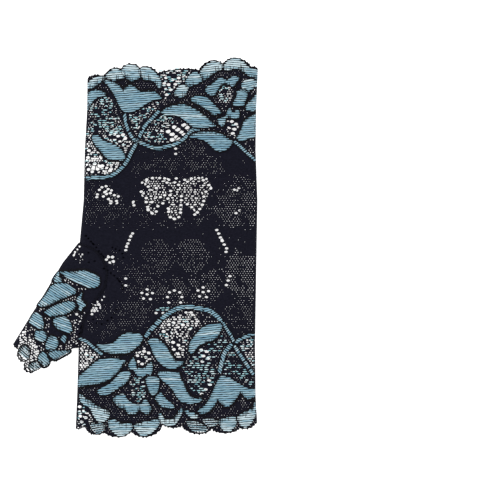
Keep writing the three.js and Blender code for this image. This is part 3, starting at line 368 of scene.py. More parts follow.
EYELETS = [
    (-1.2, 23.1), (-1.4, 25.1), (-1.9, 7.6), (-2.9, 5.9), (-3.7, 4), (-4.5, 2.1), (-5.2, 0.2), (-5.7, -1.6),
    (44.4, 9.5), (45.5, 7.5), (46.4, 5.4), (47.4, 3.4), (48.5, 1.5), (49.8, -0.6), (49.5, -2.5),
    (54.2, 31.7), (56.7, 32.6), (55, 18.8), (57.1, 20.3), (21.8, 54.3), (21.8, 51.4), (51.7, -15.9),
    (50.7, -18.3), (49.7, -20.8), (56.7, 32.9), (55.3, 31.3), (56.7, 20.2), (54.7, 18.6), (11, -36.2),
    (14.9, -36.2), (27.5, -35.9), (30.3, -35.9), (-5.7, -17.2), (-5.7, -21), (3.5, 35.6), (4.8, 34.7),
    (5.9, 37.4), (6.7, 33.4), (2.9, 30.6), (3.9, 29.6), (5.6, 27.1), (5.6, 24.9), (6.4, 22.4), (6.7, 20.4),
    (8.9, 18.6), (9, 38.1), (13, 38.1), (15.7, 37.9), (18, 37.1), (17.1, 35.6), (22.1, 37.9), (21.3, 35.7),
    (23.4, 34.4), (11.1, 32.6), (19, 31), (17.5, 26.8), (24.9, 25.9), (24.9, 28.1), (24.7, 23.2),
    (26.8, 37.1), (28.4, 36.2), (30.5, 37.9), (34.5, 38.1), (37, 36.9), (38.5, 37.6), (40, 34.2),
    (41, 32.3), (38.4, 30.6), (37.3, 27.9), (37.2, 25.5), (36.4, 23.4), (35, 21.1), (33.7, 19.2),
    (32.3, 18), (30.7, 22.1), (28.2, 23.7), (18.9, 16.6), (21.2, 15.6), (23.5, 16.6), (17.9, 19.6),
    (17.7, 21.4), (24.5, 20.9), (24.4, 19.1), (18.7, 28.7), (15.7, 28.6), (13.4, 27.6), (12, 22.6),
    (14.7, 24.2), (11.1, 19.7), (8.9, 24.9), (-16.5, 33.6), (-18.8, 33), (-20.2, 31.6), (-15.3, 32),
    (-13.6, 31.3), (-17.3, 30.3), (-14.2, 29.8), (-12, 28.7), (-9.8, 28), (-21.3, 29.1), (-21.6, 27.6),
    (-16.1, 29.2), (-18, 28), (-15.2, 26.6), (-13.8, 25.4), (-14, 24.3), (-10.8, 25.5), (-10.7, 24.3),
    (6.1, -23.2), (9, -25.2), (7.9, -28.5), (4.1, -28.2), (3.2, -25.1), (6.1, -25.9), (36.9, -22.1),
    (39.9, -24.1), (38.7, -27.4), (34.9, -27), (34.1, -23.8), (36.9, -24.7), (17.3, -27.4), (18.4, -24.8),
    (21.1, -23.8), (24, -24.8), (25.2, -27.4), (24.5, -30.4), (18, -30.4), (-16.3, -6.8), (-14.4, -8.4),
    (-32.7, -36.9), (-24.4, -36.8),
]
SMALL_EYELETS = [
    (-15.3, -4.7), (-31.1, 0.4), (-32.3, -1.2), (-33.6, -2.6), (-34.4, -4.6), (-29.6, -3.9), (-30.3, -5.2),
    (-24.1, -31.3), (-22.3, -31.9), (-23.5, -33.3), (-21.2, -29.9), (-18.8, -29), (-17.6, -27.2),
    (-24.5, -35.3), (-21.2, -35), (-23.5, -37.2), (-20, -31.8), (-21.7, -33.4), (-19.8, -33.5),
    (-22.8, -35.4),
]

# Small holes of the upper layer alone, with the dark lower layer behind them
PITS = [
    (-27.5, 6.2), (-26.1, 4.8), (-24.8, 3.2), (-23.2, 1.5), (-21.8, -0.1), (-20.4, -2), (-19, -3.7),
    (-17.8, -5.4), (-12.9, -0.1), (-11.1, -1), (-9, -1.7), (-7.4, -3.5), (-7, -5.7), (-17.6, -11.7),
    (-15.6, -12.8), (-13.8, -14.2), (-11.9, -15.6), (-10.2, -17.2), (-8.8, -19), (-7.7, -21), (-7.3, -23.1),
    (-21.7, -41.7), (-18.8, -42.2), (-15.6, -40.3), (-23.5, -39.6), (-25, -37.6), (-13.4, -38.7),
    (-11.8, -36.5), (-10.5, -34.2), (-26.1, -3), (-25.9, -8.3), (-22.7, -7.6),
]

# The cuff's and the fingers' flowered borders, which end at the vines, and the thumb's
CUFF_BORDER = [
    (-31.0, 38.2), (-21.8, 38.2), (-14.3, 39.2), (-8.5, 43.0), (-4.7, 47.7), (-2.9, 51.5), (0.0, 57.2),
    (4.4, 56.8), (8.7, 55.1), (13.8, 54.9), (21.6, 56.7), (29.7, 62.3), (35.2, 59.5), (40.2, 56.8),
    (44.5, 53.0), (47.7, 53.0), (52.3, 56.2), (56.5, 56.3), (59.4, 53.5), (62.4, 50.9), (69.0, 46.3),
    (72.0, 112.0), (-36.0, 112.0),
]
FINGER_BORDER = [
    (-34.0, -49.9), (-27.5, -51.6), (-24.2, -54.3), (-18.2, -53.7), (-13.3, -52.9), (-8.8, -48.8),
    (-1.1, -47.2), (3.8, -49.9), (5.5, -49.1), (10.7, -42.8), (16.8, -37.2), (24.8, -33.1),
    (35.1, -33.6), (43.7, -37.2), (49.8, -44.8), (53.9, -52.4), (57.5, -50.4), (61.0, -48.8),
    (69.3, -47.1), (72.0, -112.0), (-40.0, -112.0),
]
THUMB_BORDER = [
    (-46.0, -13.0), (-20.0, -15.0), (-22.0, -21.0), (-30.0, -24.0), (-28.0, -36.0), (-33.0, -47.0),
    (-31.0, -56.0), (-80.0, -90.0), (-80.0, -30.0),
]

# The net
NET_PITCH = (1.45, 1.15)  # a mesh's width and height
HAND_MESHES = (134, 188)  # columns and rows of the sheet that it is made from
THUMB_MESHES = (116, 70)
HAND_HALF_LENGTH = 108.0
CORNER_STRAY = (0.11, 0.09)  # how far corners stray across and along
CORNER_SHIFT = 0.17  # how far corners stand off their row, in rows
FIRM_EDGE = 0.02  # the share of the width at each fold where corners don't stray across
EYELET_SHARE = 0.86  # the widest hole that a mesh's threads leave
NARROWEST_HOLE = 0.1  # narrower ones stay closed
LEAST_MESH = 0.12  # in square millimetres; smaller ones are cut away
LEAST_OPENED_MESH = 0.5
HOLE_LIFT = -0.3  # the rims of holes lie deeper than the threads between them
THREAD_LIFT = -0.1

# Single holes: half the width and half the height of each kind
EYELET = (1.0, 0.7)
WIDE_EYELET = (1.15, 0.88)
LARGEST_EYELET = (1.5, 1.15)
SMALL_EYELET = (0.62, 0.52)
PIT = (0.62, 0.5)
EYELET_REACH = 1.5  # how far off the mesh may be that becomes an eyelet
EYELET_MARK = 2.0  # the openness that marks it
EYELET_RING = (1.7, 1.4)  # half the width and height of the place round it where meshes are drawn in
DRAWN_IN = 0.55  # the share of their width that those keep
WIDE_RING = (0.75, 0.65)  # how far past a wide one, across and along, meshes are closed

# The share of meshes that are open in each place, and their width: one value, or the least and how much
# wider some are
BORDER_SHARE = 0.5
BORDER_WIDTH = (0.22, 0.2)
LOOSE_WIDTH = 0.2
RING_SHARE = 0.75
RING_WIDTH = 0.22
RING_REACH = 0.65  # how near to a ring's line its meshes lie
FIELD_SHARE = 0.9
FIELD_WIDTH = (0.7, 0.55)
WINDOW_WIDTH = (0.42, 0.45)
SHEER_WIDTH = 0.72
THUMB_BORDER_SHARE = 0.6
THUMB_BORDER_WIDTH = 0.5
THUMB_TIP_WIDTH = (0.62, 0.2)
THUMB_ROOT_SHARE = 0.25
THUMB_ROOT_WIDTH = 0.36
THUMB_SHEER_WIDTH = 0.84

# Fields that are at least this open are an open mesh; the others are speckle, blurred at their edges
OPEN_FIELD = 0.5
SPECKLE_BLUR = 1.5
RING_BLUR = 0.3

# Near a fold meshes are narrower: how near, and the share of their width that is left
HAND_FOLD_SHADE = (1.2, 0.35)
THUMB_FOLD_SHADE = (0.9, 0.3)

# How readily neighbouring meshes run together in each place, and how far from a fold none do
FIELD_JOINING = 0.4
WINDOW_JOINING = 0.85
THUMB_JOINING = 0.5
FOLD_UNJOINED = 2.4
JOIN_ROUNDS = 2
JOIN_CHANCE = 0.6
SIDEWAYS_JOINS = 0.75  # the share of joins that are sideways alone
LEAST_JOINED = 0.2  # meshes less open than this aren't joined
MOST_SIDES = 12  # nor those with more sides than this

# Parts of the thumb with no holes, the line at its root where small ones gather, and its open tip
DARK_CENTRE = (-44.3, -45.5)
DARK_RADIUS = 4.2
THUMB_CORNER = (-67.8, -52.9)
CORNER_RADIUS = 3.4
THUMB_ROOT = [(-34.0, -1.5), (-31.0, -6.0)]
ROOT_RADIUS = 3.0
TIP_REACH = 9.0

# Satin rows
SATIN_PITCH = 1.17  # from one row to the next
STEEP = 12  # rows that slant by more degrees than this begin at a random height
SHORTEST_ROW = 0.6
SHORTEST_VINE_ROW = 0.85
ROW_STEP = 1.4  # from one point of a row to the next
ROW_RISE = 0.3
ROW_FOOT = 0.05  # how far a row's foot stands off the ground
ROW_FILL = (0.74, 0.98)  # how much of the pitch a row fills
SHEER_FILL = 0.5  # the share of that in sheer shapes
ROW_END = 0.55  # the share of a row's width that is left at its ends
TONE_SPREAD = 0.1
VALLEY_WIDTHS = (0.05, 0.12, 0.17, 0.2, 0.22)  # of the dark threads between rows
VINE_LENGTH = 5  # how many points of a vine share a slant
VINE_SLANT = -0.6  # degrees of slant for each degree that a vine climbs
VINE_TAPER = ([0, 0.06, 0.94, 1], [0.75, 1, 1, 0.75])  # its width along its way
LOBE_GROWTH = 0.3  # how far outlines are let out before rows fill them
SHAPE_GROWTH = 0.12

# Shapes with open meshes and thin rows, shapes that are shaded as petals, and windows without pale threads
SHEER = {"thumb_tip_lobe_1", "thumb_tip_lobe_2", "finger_lobe_2", "finger_lobe_7", "finger_lobe_8"}
THUMB_FLOWER = {"thumb_inner_petal", "thumb_outer_petal", "thumb_low_petal_1", "thumb_low_petal_2"}
PLAIN_WINDOWS = {"cuff_centre_bright"}

# Comb shading: share of places with no tooth, reach of a tooth in and out, and half the band's width
PETAL_COMB = (0.4, (0.6, 3.4), (0.3, 0.8), 0.3)
LEAF_COMB = (0.25, (0.5, 1.7), (0.7, 1.9), 0.5)
SHADED_COSINE = 0.4  # how squarely an outline has to face the shaded side
TOOTH_WIDTHS = (0.1, 0.23, 0.11)  # half the width at its outer end, its foot and its inner end
LEAST_BAND = 5  # a band has at least this many points

# Pale threads of the windows: length, gap to the next one, and half the width along it
FLOAT_LENGTH = (1.0, 2.4)
FLOAT_GAP = (0.3, 1.4)
FLOAT_WIDTHS = (0.16, 0.27, 0.16)

# Cords round shapes: how far they stand off and their half width
LOBE_RIM = (0.12, 0.17)
SHAPE_RIM = (0.22, 0.33)

# Half the width of other cords, and the reach and pitch of the seams' stitches
VINE_RIM = 0.27
EDGE_CORD = 0.21
EDGE_FOOT = -0.08
THUMB_SEAM = 0.17
THUMB_STITCH = (0.7, 1.0)
SIDE_SEAM = 0.22
SIDE_STITCH = (0.9, 0.9)
SEAM_FROM_FOLD = 9.0
PICOT_PITCH = 1.7
PICOT_REACH = 0.42
GLANCE = 0.3  # how far along a line its direction is taken

# Curves: the way from point to point of an outline and of a line, and how a scallop is divided and rounded
CURVE_STEP = 0.8
LINE_STEP = 1.0
SCALLOP_STEPS = 14
SCALLOP_ROUNDNESS = 0.7

# Points may lie past the hand's left fold, up to a limit, beside the thumb's root or well past the fold
BESIDE_THUMB = (-54.0, 2.5)
PAST_FOLD = 2.5
THUMB_LIMIT = -80.0
LOWEST = 0.02  # how far above the floor every thread stays

LAYERS = ((True, "front"), (False, "back"))


def curve_between(a, b, c, d, step):
    """Points of a round curve from b up to c, about a step apart, where a and d are the next ones out."""
    count = max(1, int(round(np.hypot(*(c - b)) / step)))
    return [0.5 * (2 * b + (c - a) * t + (2 * a - 5 * b + 4 * c - d) * t * t
                   + (3 * b - a - 3 * c + d) * t ** 3) for t in np.arange(count) / count]


def smooth_closed(points):
    """Points along a closed round curve through the given ones."""
    p = np.array(points, float)
    n = len(p)
    spans = (curve_between(p[i - 1], p[i], p[(i + 1) % n], p[(i + 2) % n], CURVE_STEP) for i in range(n))
    return np.array([point for span in spans for point in span])


def smooth_open(points):
    """Points along an open round curve through the given ones, with its last point."""
    p = np.array(points, float)
    p = np.vstack([2 * p[0] - p[1], p, 2 * p[-1] - p[-2]])
    spans = (curve_between(*p[i - 1:i + 3], LINE_STEP) for i in range(1, len(p) - 2))
    return np.array([point for span in spans for point in span] + [p[-2]])


def scallops(rows, side):
    """The line of a scalloped edge."""
    line = []
    for (x0, y0, rise), (x1, y1, _) in zip(rows, rows[1:]):
        chord = np.array([x1 - x0, y1 - y0])
        out = np.array([chord[1], -chord[0]]) * side / np.hypot(*chord)
        for t in np.linspace(0, 1, SCALLOP_STEPS, endpoint=False):
            line.append(np.array([x0, y0]) + chord * t + out * rise * (4 * t * (1 - t)) ** SCALLOP_ROUNDNESS)
    line.append(np.array(rows[-1][:2]))
    return np.array(line)


cuff_line = scallops(CUFF_EDGE, -1)
finger_line = scallops(FINGER_EDGE, 1)
thumb_line = scallops(THUMB_EDGE, 1)
base_line = smooth_open(THUMB_BASE)


def inside(points, outline):
    """Which points lie inside an outline."""
    x, y = points[:, 0], points[:, 1]
    result = np.zeros(len(points), bool)
    o = np.asarray(outline)
    for (x0, y0), (x1, y1) in zip(o, np.roll(o, -1, axis=0)):
        if y0 == y1:
            continue
        crossing = (y0 > y) != (y1 > y)
        result ^= crossing & (x < (x1 - x0) * (y - y0) / (y1 - y0) + x0)
    return result


def distance_to(points, line):
    """Distance from each point to an open line."""
    best = np.full(len(points), 1e9)
    line = np.asarray(line, float)
    for a, b in zip(line, line[1:]):
        run = b - a
        t = np.clip(((points - a) @ run) / (run @ run), 0, 1)
        best = np.minimum(best, np.hypot(*(points - a - t[:, None] * run).T))
    return best


def away_from(points, spot):
    """Distance from each point to a spot."""
    return np.hypot(*(points - spot).T)


def outward(outline):
    """The direction that leads out of a closed outline at each of its points."""
    following = np.roll(outline, -1, axis=0)
    run = following - np.roll(outline, 1, axis=0)
    area = np.sum(outline[:, 0] * following[:, 1] - following[:, 0] * outline[:, 1])
    normal = np.column_stack([run[:, 1], -run[:, 0]]) * np.sign(area)
    return normal / np.maximum(np.hypot(normal[:, 0], normal[:, 1]), 1e-9)[:, None]


def grown(outline, reach):
    """An outline moved outwards by a reach."""
    return outline + reach * outward(outline)


def lengths_along(line):
    """How far along a line each of its points lies."""
    return np.concatenate([[0], np.cumsum(np.hypot(*np.diff(line, axis=0).T))])


def points_at(line, along, places):
    """The points that lie at given lengths along a line."""
    return [np.array([np.interp(t, along, line[:, 0]), np.interp(t, along, line[:, 1])]) for t in places]


sides = np.array(HAND_SIDES)
thumb_outline = np.array(THUMB_UPPER_FOLD + THUMB_LOWER_FOLD[::-1])


def folds_at(y):
    """Where the hand's left and right folds are at a height of the plan."""
    return np.interp(y, sides[:, 0], sides[:, 1]), np.interp(y, sides[:, 0], sides[:, 2])


def thumb_fold_distance(points):
    """Distance from each point to the nearer of the thumb's two folds."""
    return np.minimum(distance_to(points, THUMB_UPPER_FOLD), distance_to(points, THUMB_LOWER_FOLD))


def near_fold(points, reach):
    """Which points lie within reach of the hand's side folds."""
    left, right = folds_at(points[:, 1])
    return np.minimum(points[:, 0] - left, right - points[:, 0]) < reach


def risen(distance, height):
    """The height of a layer at a distance from the fold, where it turns to its full height."""
    share = np.sqrt(np.clip(1 - (1 - np.clip(distance, 0, FOLD) / FOLD) ** 2, 0, 1))
    return FOLD_HEIGHT + (height - FOLD_HEIGHT) * share


def layer_heights(points):
    """Height of the upper and the lower layer over each point of the plan."""
    x = points[:, 0]
    left, right = folds_at(points[:, 1])
    across = np.minimum(x - left, right - x)
    share = np.clip((x - left - FOLD) / (right - left - 2 * FOLD), 0, 1)
    plateau = HAND_SHOULDER + (HAND_CROWN - HAND_SHOULDER) * 4 * share * (1 - share)
    top, bottom = risen(across, plateau), risen(across, BACK_HEIGHT)
    within = inside(points, thumb_outline)
    edge = np.where(within, thumb_fold_distance(points), 0)
    top = np.where(within, np.maximum(top, risen(edge, THUMB_SHOULDER)), top)
    bottom = np.where(within, np.minimum(bottom, risen(edge, BACK_HEIGHT)), bottom)
    return top, bottom


def laid(points, lift, front):
    """Plan points carried onto a layer, standing out from it by their lift, in metres in the frame."""
    points = np.array(points[:, :2], float)
    y = points[:, 1]
    left, right = folds_at(y)
    beside_thumb = (y > BESIDE_THUMB[0]) & (y < BESIDE_THUMB[1])
    on_thumb = beside_thumb | ((y < 0) & (points[:, 0] < left - PAST_FOLD))
    points[:, 0] = np.clip(points[:, 0], np.where(on_thumb, THUMB_LIMIT, left), right)
    top, bottom = layer_heights(points)
    z = top + lift if front else np.maximum(bottom - lift, LOWEST)
    return np.column_stack([points[:, 0] + ORIGIN_SHIFT[0], points[:, 1] + ORIGIN_SHIFT[1], z]) * MM


# Materials

def surface(material):
    """The surface shader of a material."""
    return material.node_tree.nodes["Principled BSDF"]


def shade(name, base, roughness, **sockets):
    """A plain thread or paper finish; patterns are added to it by the calls below."""
    material = bpy.data.materials.new(name)
    material.use_nodes = True
    values = {"Base Color": (*base, 1), "Roughness": roughness, **sockets}
    for socket, value in values.items():
        surface(material).inputs[socket.replace("_", " ")].default_value = value
    return material


def link(material, source, target):
    """One shader socket led to another."""
    material.node_tree.links.new(source, target)


def node(material, kind, **values):
    """A shader node with values for its sockets or its settings."""
    made = material.node_tree.nodes.new(kind)
    for key, value in values.items():
        if key in made.inputs:
            made.inputs[key].default_value = value
        else:
            setattr(made, key, value)
    return made


def stretched_noise(material, stretch, scale, detail):
    """Noise on object coordinates, drawn out along the rows."""
    where = node(material, "ShaderNodeTexCoord")
    mapping = node(material, "ShaderNodeMapping", Scale=stretch)
    noise = node(material, "ShaderNodeTexNoise", Scale=scale, Detail=detail)
    link(material, where.outputs["Object"], mapping.inputs["Vector"])
    link(material, mapping.outputs["Vector"], noise.inputs["Vector"])
    return noise.outputs["Fac"]


def row_tone_and_sheen(material):
    """The tone that each thread carries as an attribute; on satin rows it holds painted sheen as well as
    random tone.
    """
    return node(material, "ShaderNodeAttribute", attribute_name="row_tone_and_sheen").outputs["Fac"]


def bumped(material, height, strength, distance):
    """Fine relief on a material."""
    bump = node(material, "ShaderNodeBump", Strength=strength, Distance=distance)
    link(material, height, bump.inputs["Height"])
    link(material, bump.outputs["Normal"], surface(material).inputs["Normal"])


def coloured(material, factor, stops):
    """A material's colour led by a factor through stops, each a place from 0 to 1 and a colour."""
    ramp = node(material, "ShaderNodeValToRGB")
    elements = ramp.color_ramp.elements
    elements[0].position, elements[0].color = stops[0][0], (*stops[0][1], 1)
    elements[1].position, elements[1].color = stops[-1][0], (*stops[-1][1], 1)
    for position, colour in stops[1:-1]:
        elements.new(position).color = (*colour, 1)
    link(material, factor, ramp.inputs["Fac"])
    link(material, ramp.outputs["Color"], surface(material).inputs["Base Color"])


def dark_yarn(name, base, roughness, shine, noise, dark, light, bump):
    """A dark fuzzy thread: its noise's stretch, scale and detail, two colour stops, and its relief."""
    material = shade(name, base, roughness, Specular_IOR_Level=shine)
    fuzz = stretched_noise(material, *noise)
    coloured(material, fuzz, [dark, light])
    bumped(material, fuzz, *bump)
    return material


def satin_thread():
    """Light blue satin, each thread with its own tone and painted highlight streaks along it."""
    material = shade("satin_thread", (0.2, 0.46, 0.6), 0.42, Sheen_Weight=0.15, Sheen_Roughness=0.4)
    # Noise along the rows and each row's tone lead the colour; the pale streaks and the palest stops are
    # painted highlights
    both = node(material, "ShaderNodeMath", operation="MULTIPLY_ADD")
    link(material, stretched_noise(material, (0.5, 2.2, 1.0), 460.0, 3.0), both.inputs[0])
    both.inputs[1].default_value = 0.7
    link(material, row_tone_and_sheen(material), both.inputs[2])
    coloured(material, both.outputs[0], [(0.25, (0.10, 0.23, 0.325)), (0.55, (0.185, 0.365, 0.465)),
                                         (0.8, (0.29, 0.47, 0.555)), (1.0, (0.58, 0.72, 0.765))])
    bumped(material, stretched_noise(material, (0.25, 4.0, 1.0), 1500.0, 2.0), 0.5, 0.00025)
    return material


def net_float():
    """Pale threads of mixed tones that lie across the open windows."""
    material = shade("net_float", (0.42, 0.66, 0.74), 0.5)
    coloured(material, row_tone_and_sheen(material), [(0.0, (0.16, 0.4, 0.46)), (0.5, (0.4, 0.68, 0.72)),
                                            (1.0, (0.72, 0.86, 0.88))])
    return material


EVEN = (1.0, 1.0, 1.0)
GROUND = dark_yarn("ground_yarn", (0.005, 0.005, 0.010), 0.9, 0.06, ((1.0, 1.6, 1.0), 900.0, 3.0),
                   (0.3, (0.0050, 0.0050, 0.0095)), (0.75, (0.0105, 0.0105, 0.0185)), (0.6, 0.0003))
SATIN = satin_thread()
CORD = dark_yarn("outline_cord", (0.006, 0.005, 0.007), 0.8, 0.12, (EVEN, 1800.0, 2.0),
                 (0.3, (0.003, 0.003, 0.004)), (0.8, (0.010, 0.009, 0.012)), (0.7, 0.0003))
FLOAT = net_float()
SEAM = dark_yarn("seam_thread", (0.005, 0.005, 0.008), 0.85, 0.12, (EVEN, 1400.0, 2.0),
                 (0.3, (0.004, 0.004, 0.008)), (0.8, (0.0105, 0.0105, 0.0175)), (0.8, 0.0004))


# Building pieces

def piece(name, mesh, material, replaces=()):
    """An object from a finished mesh, riding on the glove."""
    mesh.name = name
    mesh.materials.append(material)
    mesh.shade_smooth()
    made = bpy.data.objects.new(name, mesh)
    bpy.context.scene.collection.objects.link(made)
    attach(made, "root")
    if replaces:
        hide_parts(*replaces)


# Sections of a raised thread: across from -1 to 1 and up from 0 to 1, from its left foot to its right
ARCH = [(-1.0, 0.0), (-0.55, 0.85), (0.55, 0.85), (1.0, 0.0)]
RIDGE = [(-1.0, 0.0), (0.0, 1.0), (1.0, 0.0)]
ROUND = [(-1.0, 0.5), (-0.5, 0.93), (0.5, 0.93), (1.0, 0.5), (0.5, 0.07), (-0.5, 0.07)]


def threads(lines, front, section):
    """Many threads in one mesh, laid on a layer. A line has points, half width, height, tone and foot."""
    closed = section is ROUND
    section = np.array(section)
    size = len(section)
    turn = -1 if front else 1
    flat, faces, tones = [], [], []
    base = 0
    for points, half_width, height, tone, foot in lines:
        points = np.asarray(points, float)
        count = len(points)
        run = np.gradient(points, axis=0)
        length = np.maximum(np.hypot(run[:, 0], run[:, 1]), 1e-9)
        side = np.column_stack([-run[:, 1] / length, run[:, 0] / length])
        reach = np.broadcast_to(half_width, count)[:, None, None] * section[None, :, :1]
        plan = points[:, None, :] + side[:, None, :] * reach
        lift = np.broadcast_to(foot + height * section[:, 1], (count, size))
        flat.append(np.column_stack([plan.reshape(-1, 2), lift.reshape(-1)]))
        tones.append(np.full(count * size, tone))
        spans = np.arange(size if closed else size - 1)
        rings = base + np.arange(count - 1)[:, None] * size
        here = (rings + spans[None, :]).reshape(-1)
        beside = (rings + (spans + 1)[None, :] % size).reshape(-1)
        faces.append(np.column_stack([here, here + size, beside + size, beside])[:, ::turn])
        if closed:
            start = base + np.arange(size)
            end = start + (count - 1) * size
            for cap, way in ((start, -turn), (end, turn)):
                faces.append(np.vstack([cap[[0, 1, 2, 3]], cap[[0, 3, 4, 5]]])[:, ::way])
        base += count * size
    flat = np.vstack(flat)
    mesh = bpy.data.meshes.new("threads")
    mesh.from_pydata(laid(flat[:, :2], flat[:, 2], front).tolist(), [], np.vstack(faces).tolist())
    mesh.attributes.new("row_tone_and_sheen", "FLOAT", "POINT").data.foreach_set("value", np.concatenate(tones))
    mesh.update()
    return mesh


def cords(lines, radius, foot, front):
    """Black cords of one thickness along lines of the plan."""
    return threads([(line, radius, 2 * radius, 0.0, foot) for line in lines], front, ROUND)


def closed_line(outline):
    """An outline as a line that comes round to where it began and one point on."""
    return np.vstack([outline, outline[:2]])


# The pattern

def is_lobe(name):
    """Whether a shape is a lobe of a scalloped edge."""
    return "lobe" in name


def vine_edges(points, width):
    """The middle line, left edge and right edge of a vine, narrower at its ends."""
    line = smooth_open(points)
    run = np.gradient(line, axis=0)
    side = np.column_stack([-run[:, 1], run[:, 0]]) / np.hypot(run[:, 0], run[:, 1])[:, None]
    ends = np.interp(np.linspace(0, 1, len(line)), *VINE_TAPER)[:, None]
    return line, line + side * ends * width / 2, line - side * ends * width / 2


def vine_outline(points, width):
    """The outline of a vine that follows a line."""
    _, left, right = vine_edges(points, width)
    return np.vstack([left, right[::-1]])


def vine_lengths(name, points, width):
    """A vine cut into short lengths: the more one climbs, the more its rows slant the other way."""
    line, left, right = vine_edges(points, width)
    lengths = []
    for start in range(0, len(line) - 1, VINE_LENGTH):
        stop = min(start + VINE_LENGTH + 1, len(line))
        climb = math.degrees(math.atan2(*(line[stop - 1] - line[start])[::-1]))
        climb = (climb + 90) % 180 - 90
        outline = np.vstack([left[start:stop], right[start:stop][::-1]])
        lengths.append((name, VINE_SLANT * climb, None, outline))
    return lengths


satin_nodes = [row["node"] for row in frame["record"]["subparts"] if row["material_slot"] == "blue_satin"]
satin_outlines = []
for name, slant, comb, points in SATIN_SHAPES:
    growth = LOBE_GROWTH if is_lobe(name) else SHAPE_GROWTH
    satin_outlines.append((name, slant, comb, grown(smooth_closed(points), growth)))
thumb_outlines = [(name, slant, comb, smooth_closed(points)) for name, slant, comb, points in THUMB_SHAPES]
vine_outlines = [(name, 0, None, vine_outline(points, width)) for name, width, points in STEMS]
wound_vines = [part for name, width, points in STEMS for part in vine_lengths(name, points, width)]
windows = [(openness, smooth_closed(points)) for _, openness, points in WINDOWS]
fine_fields = [(openness, smooth_closed(points), RING_BLUR if name.startswith("ring") else SPECKLE_BLUR)
               for name, openness, points in FINE_FIELDS]


def drifting(points):
    """A slow irregular wave over the plan, from 0 to 1, which makes the speckle thin out and gather."""
    x, y = points[:, 0], points[:, 1]
    first = np.sin(0.62 * x + 1.7 * np.sin(0.31 * y))
    second = np.sin(0.71 * y + 1.4 * np.sin(0.43 * x))
    return 0.5 + 0.25 * first + 0.25 * second


def varied(width, spread):
    """Widths from the least up to the widest, by how far each is spread from 0 to 1."""
    least, more = width
    return least + more * spread


def hand_openness(centres):
    """How wide each mesh of the hand's net is: 0 closed, 1 as wide as its threads allow."""
    rng = np.random.default_rng(3)
    width = np.zeros(len(centres))
    border = inside(centres, CUFF_BORDER) | inside(centres, FINGER_BORDER)
    chance, spread = rng.random(len(centres)), rng.random(len(centres))
    drift = drifting(centres)
    some = border & (chance < BORDER_SHARE)
    width[some] = varied(BORDER_WIDTH, spread[some])
    width[~border & (chance < 0.02 + 0.12 * np.clip(drift - 0.55, 0, 1))] = LOOSE_WIDTH
    for value, outline, blur in fine_fields:
        if value < OPEN_FIELD:
            within = inside(centres + rng.normal(0, blur, centres.shape), outline)
            within &= chance < 1.2 * value * (0.7 + 2.4 * (drift if blur > RING_BLUR else 0.5))
            width[within] = varied((0.105 + 0.28 * (value - 0.15), 0.12), spread[within])
            if blur == RING_BLUR:
                on_ring = distance_to(centres, closed_line(outline)) < RING_REACH
                width[on_ring & (chance < RING_SHARE)] = RING_WIDTH
        else:
            within = inside(centres, outline)
            width[within] = value * varied(FIELD_WIDTH, spread[within])
            width[within & (chance > FIELD_SHARE)] = 0.0
    for value, outline in windows:
        within = inside(centres, outline)
        width[within] = value * varied(WINDOW_WIDTH, spread[within])
        width[within & (chance > 0.55 + 0.4 * value)] = 0.0
    for name, _, _, outline in satin_outlines + vine_outlines:
        width[inside(centres, outline)] = SHEER_WIDTH if name in SHEER else 0.0
    reach, left = HAND_FOLD_SHADE
    width[near_fold(centres, reach)] *= left
    return np.minimum(width, EYELET_SHARE)


def thumb_openness(centres):
    """How wide each mesh of the thumb's net is, as for the hand."""
    rng = np.random.default_rng(13)
    width = np.zeros(len(centres))
    border = inside(centres, THUMB_BORDER)
    chance, spread = rng.random(len(centres)), rng.random(len(centres))
    width[border & (chance < THUMB_BORDER_SHARE)] = THUMB_BORDER_WIDTH
    tip = border & (distance_to(centres, thumb_line) < TIP_REACH)
    width[tip] = varied(THUMB_TIP_WIDTH, spread[tip])
    root = distance_to(centres, THUMB_ROOT) < ROOT_RADIUS
    width[root & (chance < THUMB_ROOT_SHARE)] = THUMB_ROOT_WIDTH
    width[away_from(centres, DARK_CENTRE) < DARK_RADIUS] = 0.0
    width[away_from(centres, THUMB_CORNER) < CORNER_RADIUS] = 0.0
    for name, _, _, outline in thumb_outlines:
        width[inside(centres, outline)] = THUMB_SHEER_WIDTH if name in SHEER else 0.0
    reach, left = THUMB_FOLD_SHADE
    width[thumb_fold_distance(centres) < reach] *= left
    return width


def hand_joining(centres):
    """How readily a mesh of the hand's net runs into its neighbour."""
    joining = np.zeros(len(centres))
    for value, outline, _ in fine_fields:
        if value >= OPEN_FIELD:
            joining[inside(centres, outline)] = FIELD_JOINING
    for _, outline in windows:
        joining[inside(centres, outline)] = WINDOW_JOINING
    joining[near_fold(centres, FOLD_UNJOINED)] = 0.0
    return joining


def thumb_joining(centres):
    """How readily a mesh of the thumb's net runs into its neighbour."""
    return np.where(inside(centres, THUMB_BORDER), THUMB_JOINING, 0.0)


def hand_keep(centres):
    """Which meshes belong to the hand: all but those on the thumb's side of its seam."""
    return ~inside(centres, np.vstack([base_line - [0.5, 0.0], [(-60.0, -54.0), (-60.0, 3.0)]]))


def thumb_keep(centres):
    """Which meshes belong to the thumb: those between its seam and its mouth."""
    beyond = [(-40.0, -75.0), (-95.0, -100.0), (-95.0, 45.0), (-45.0, 12.0)]
    base = np.vstack([base_line + [0.9, 0.0], beyond])
    mouth = np.vstack([thumb_line, [(-56.0, -90.0), (-90.0, -90.0), (-90.0, -50.0)]])
    return inside(centres, base) & ~inside(centres, mouth) & inside(centres, thumb_outline)


def hexagonal(corners):
    """How far each corner of the net lies above or below its row, in rows."""
    return np.where(corners.sum(axis=1) % 2 == 0, CORNER_SHIFT, -CORNER_SHIFT)


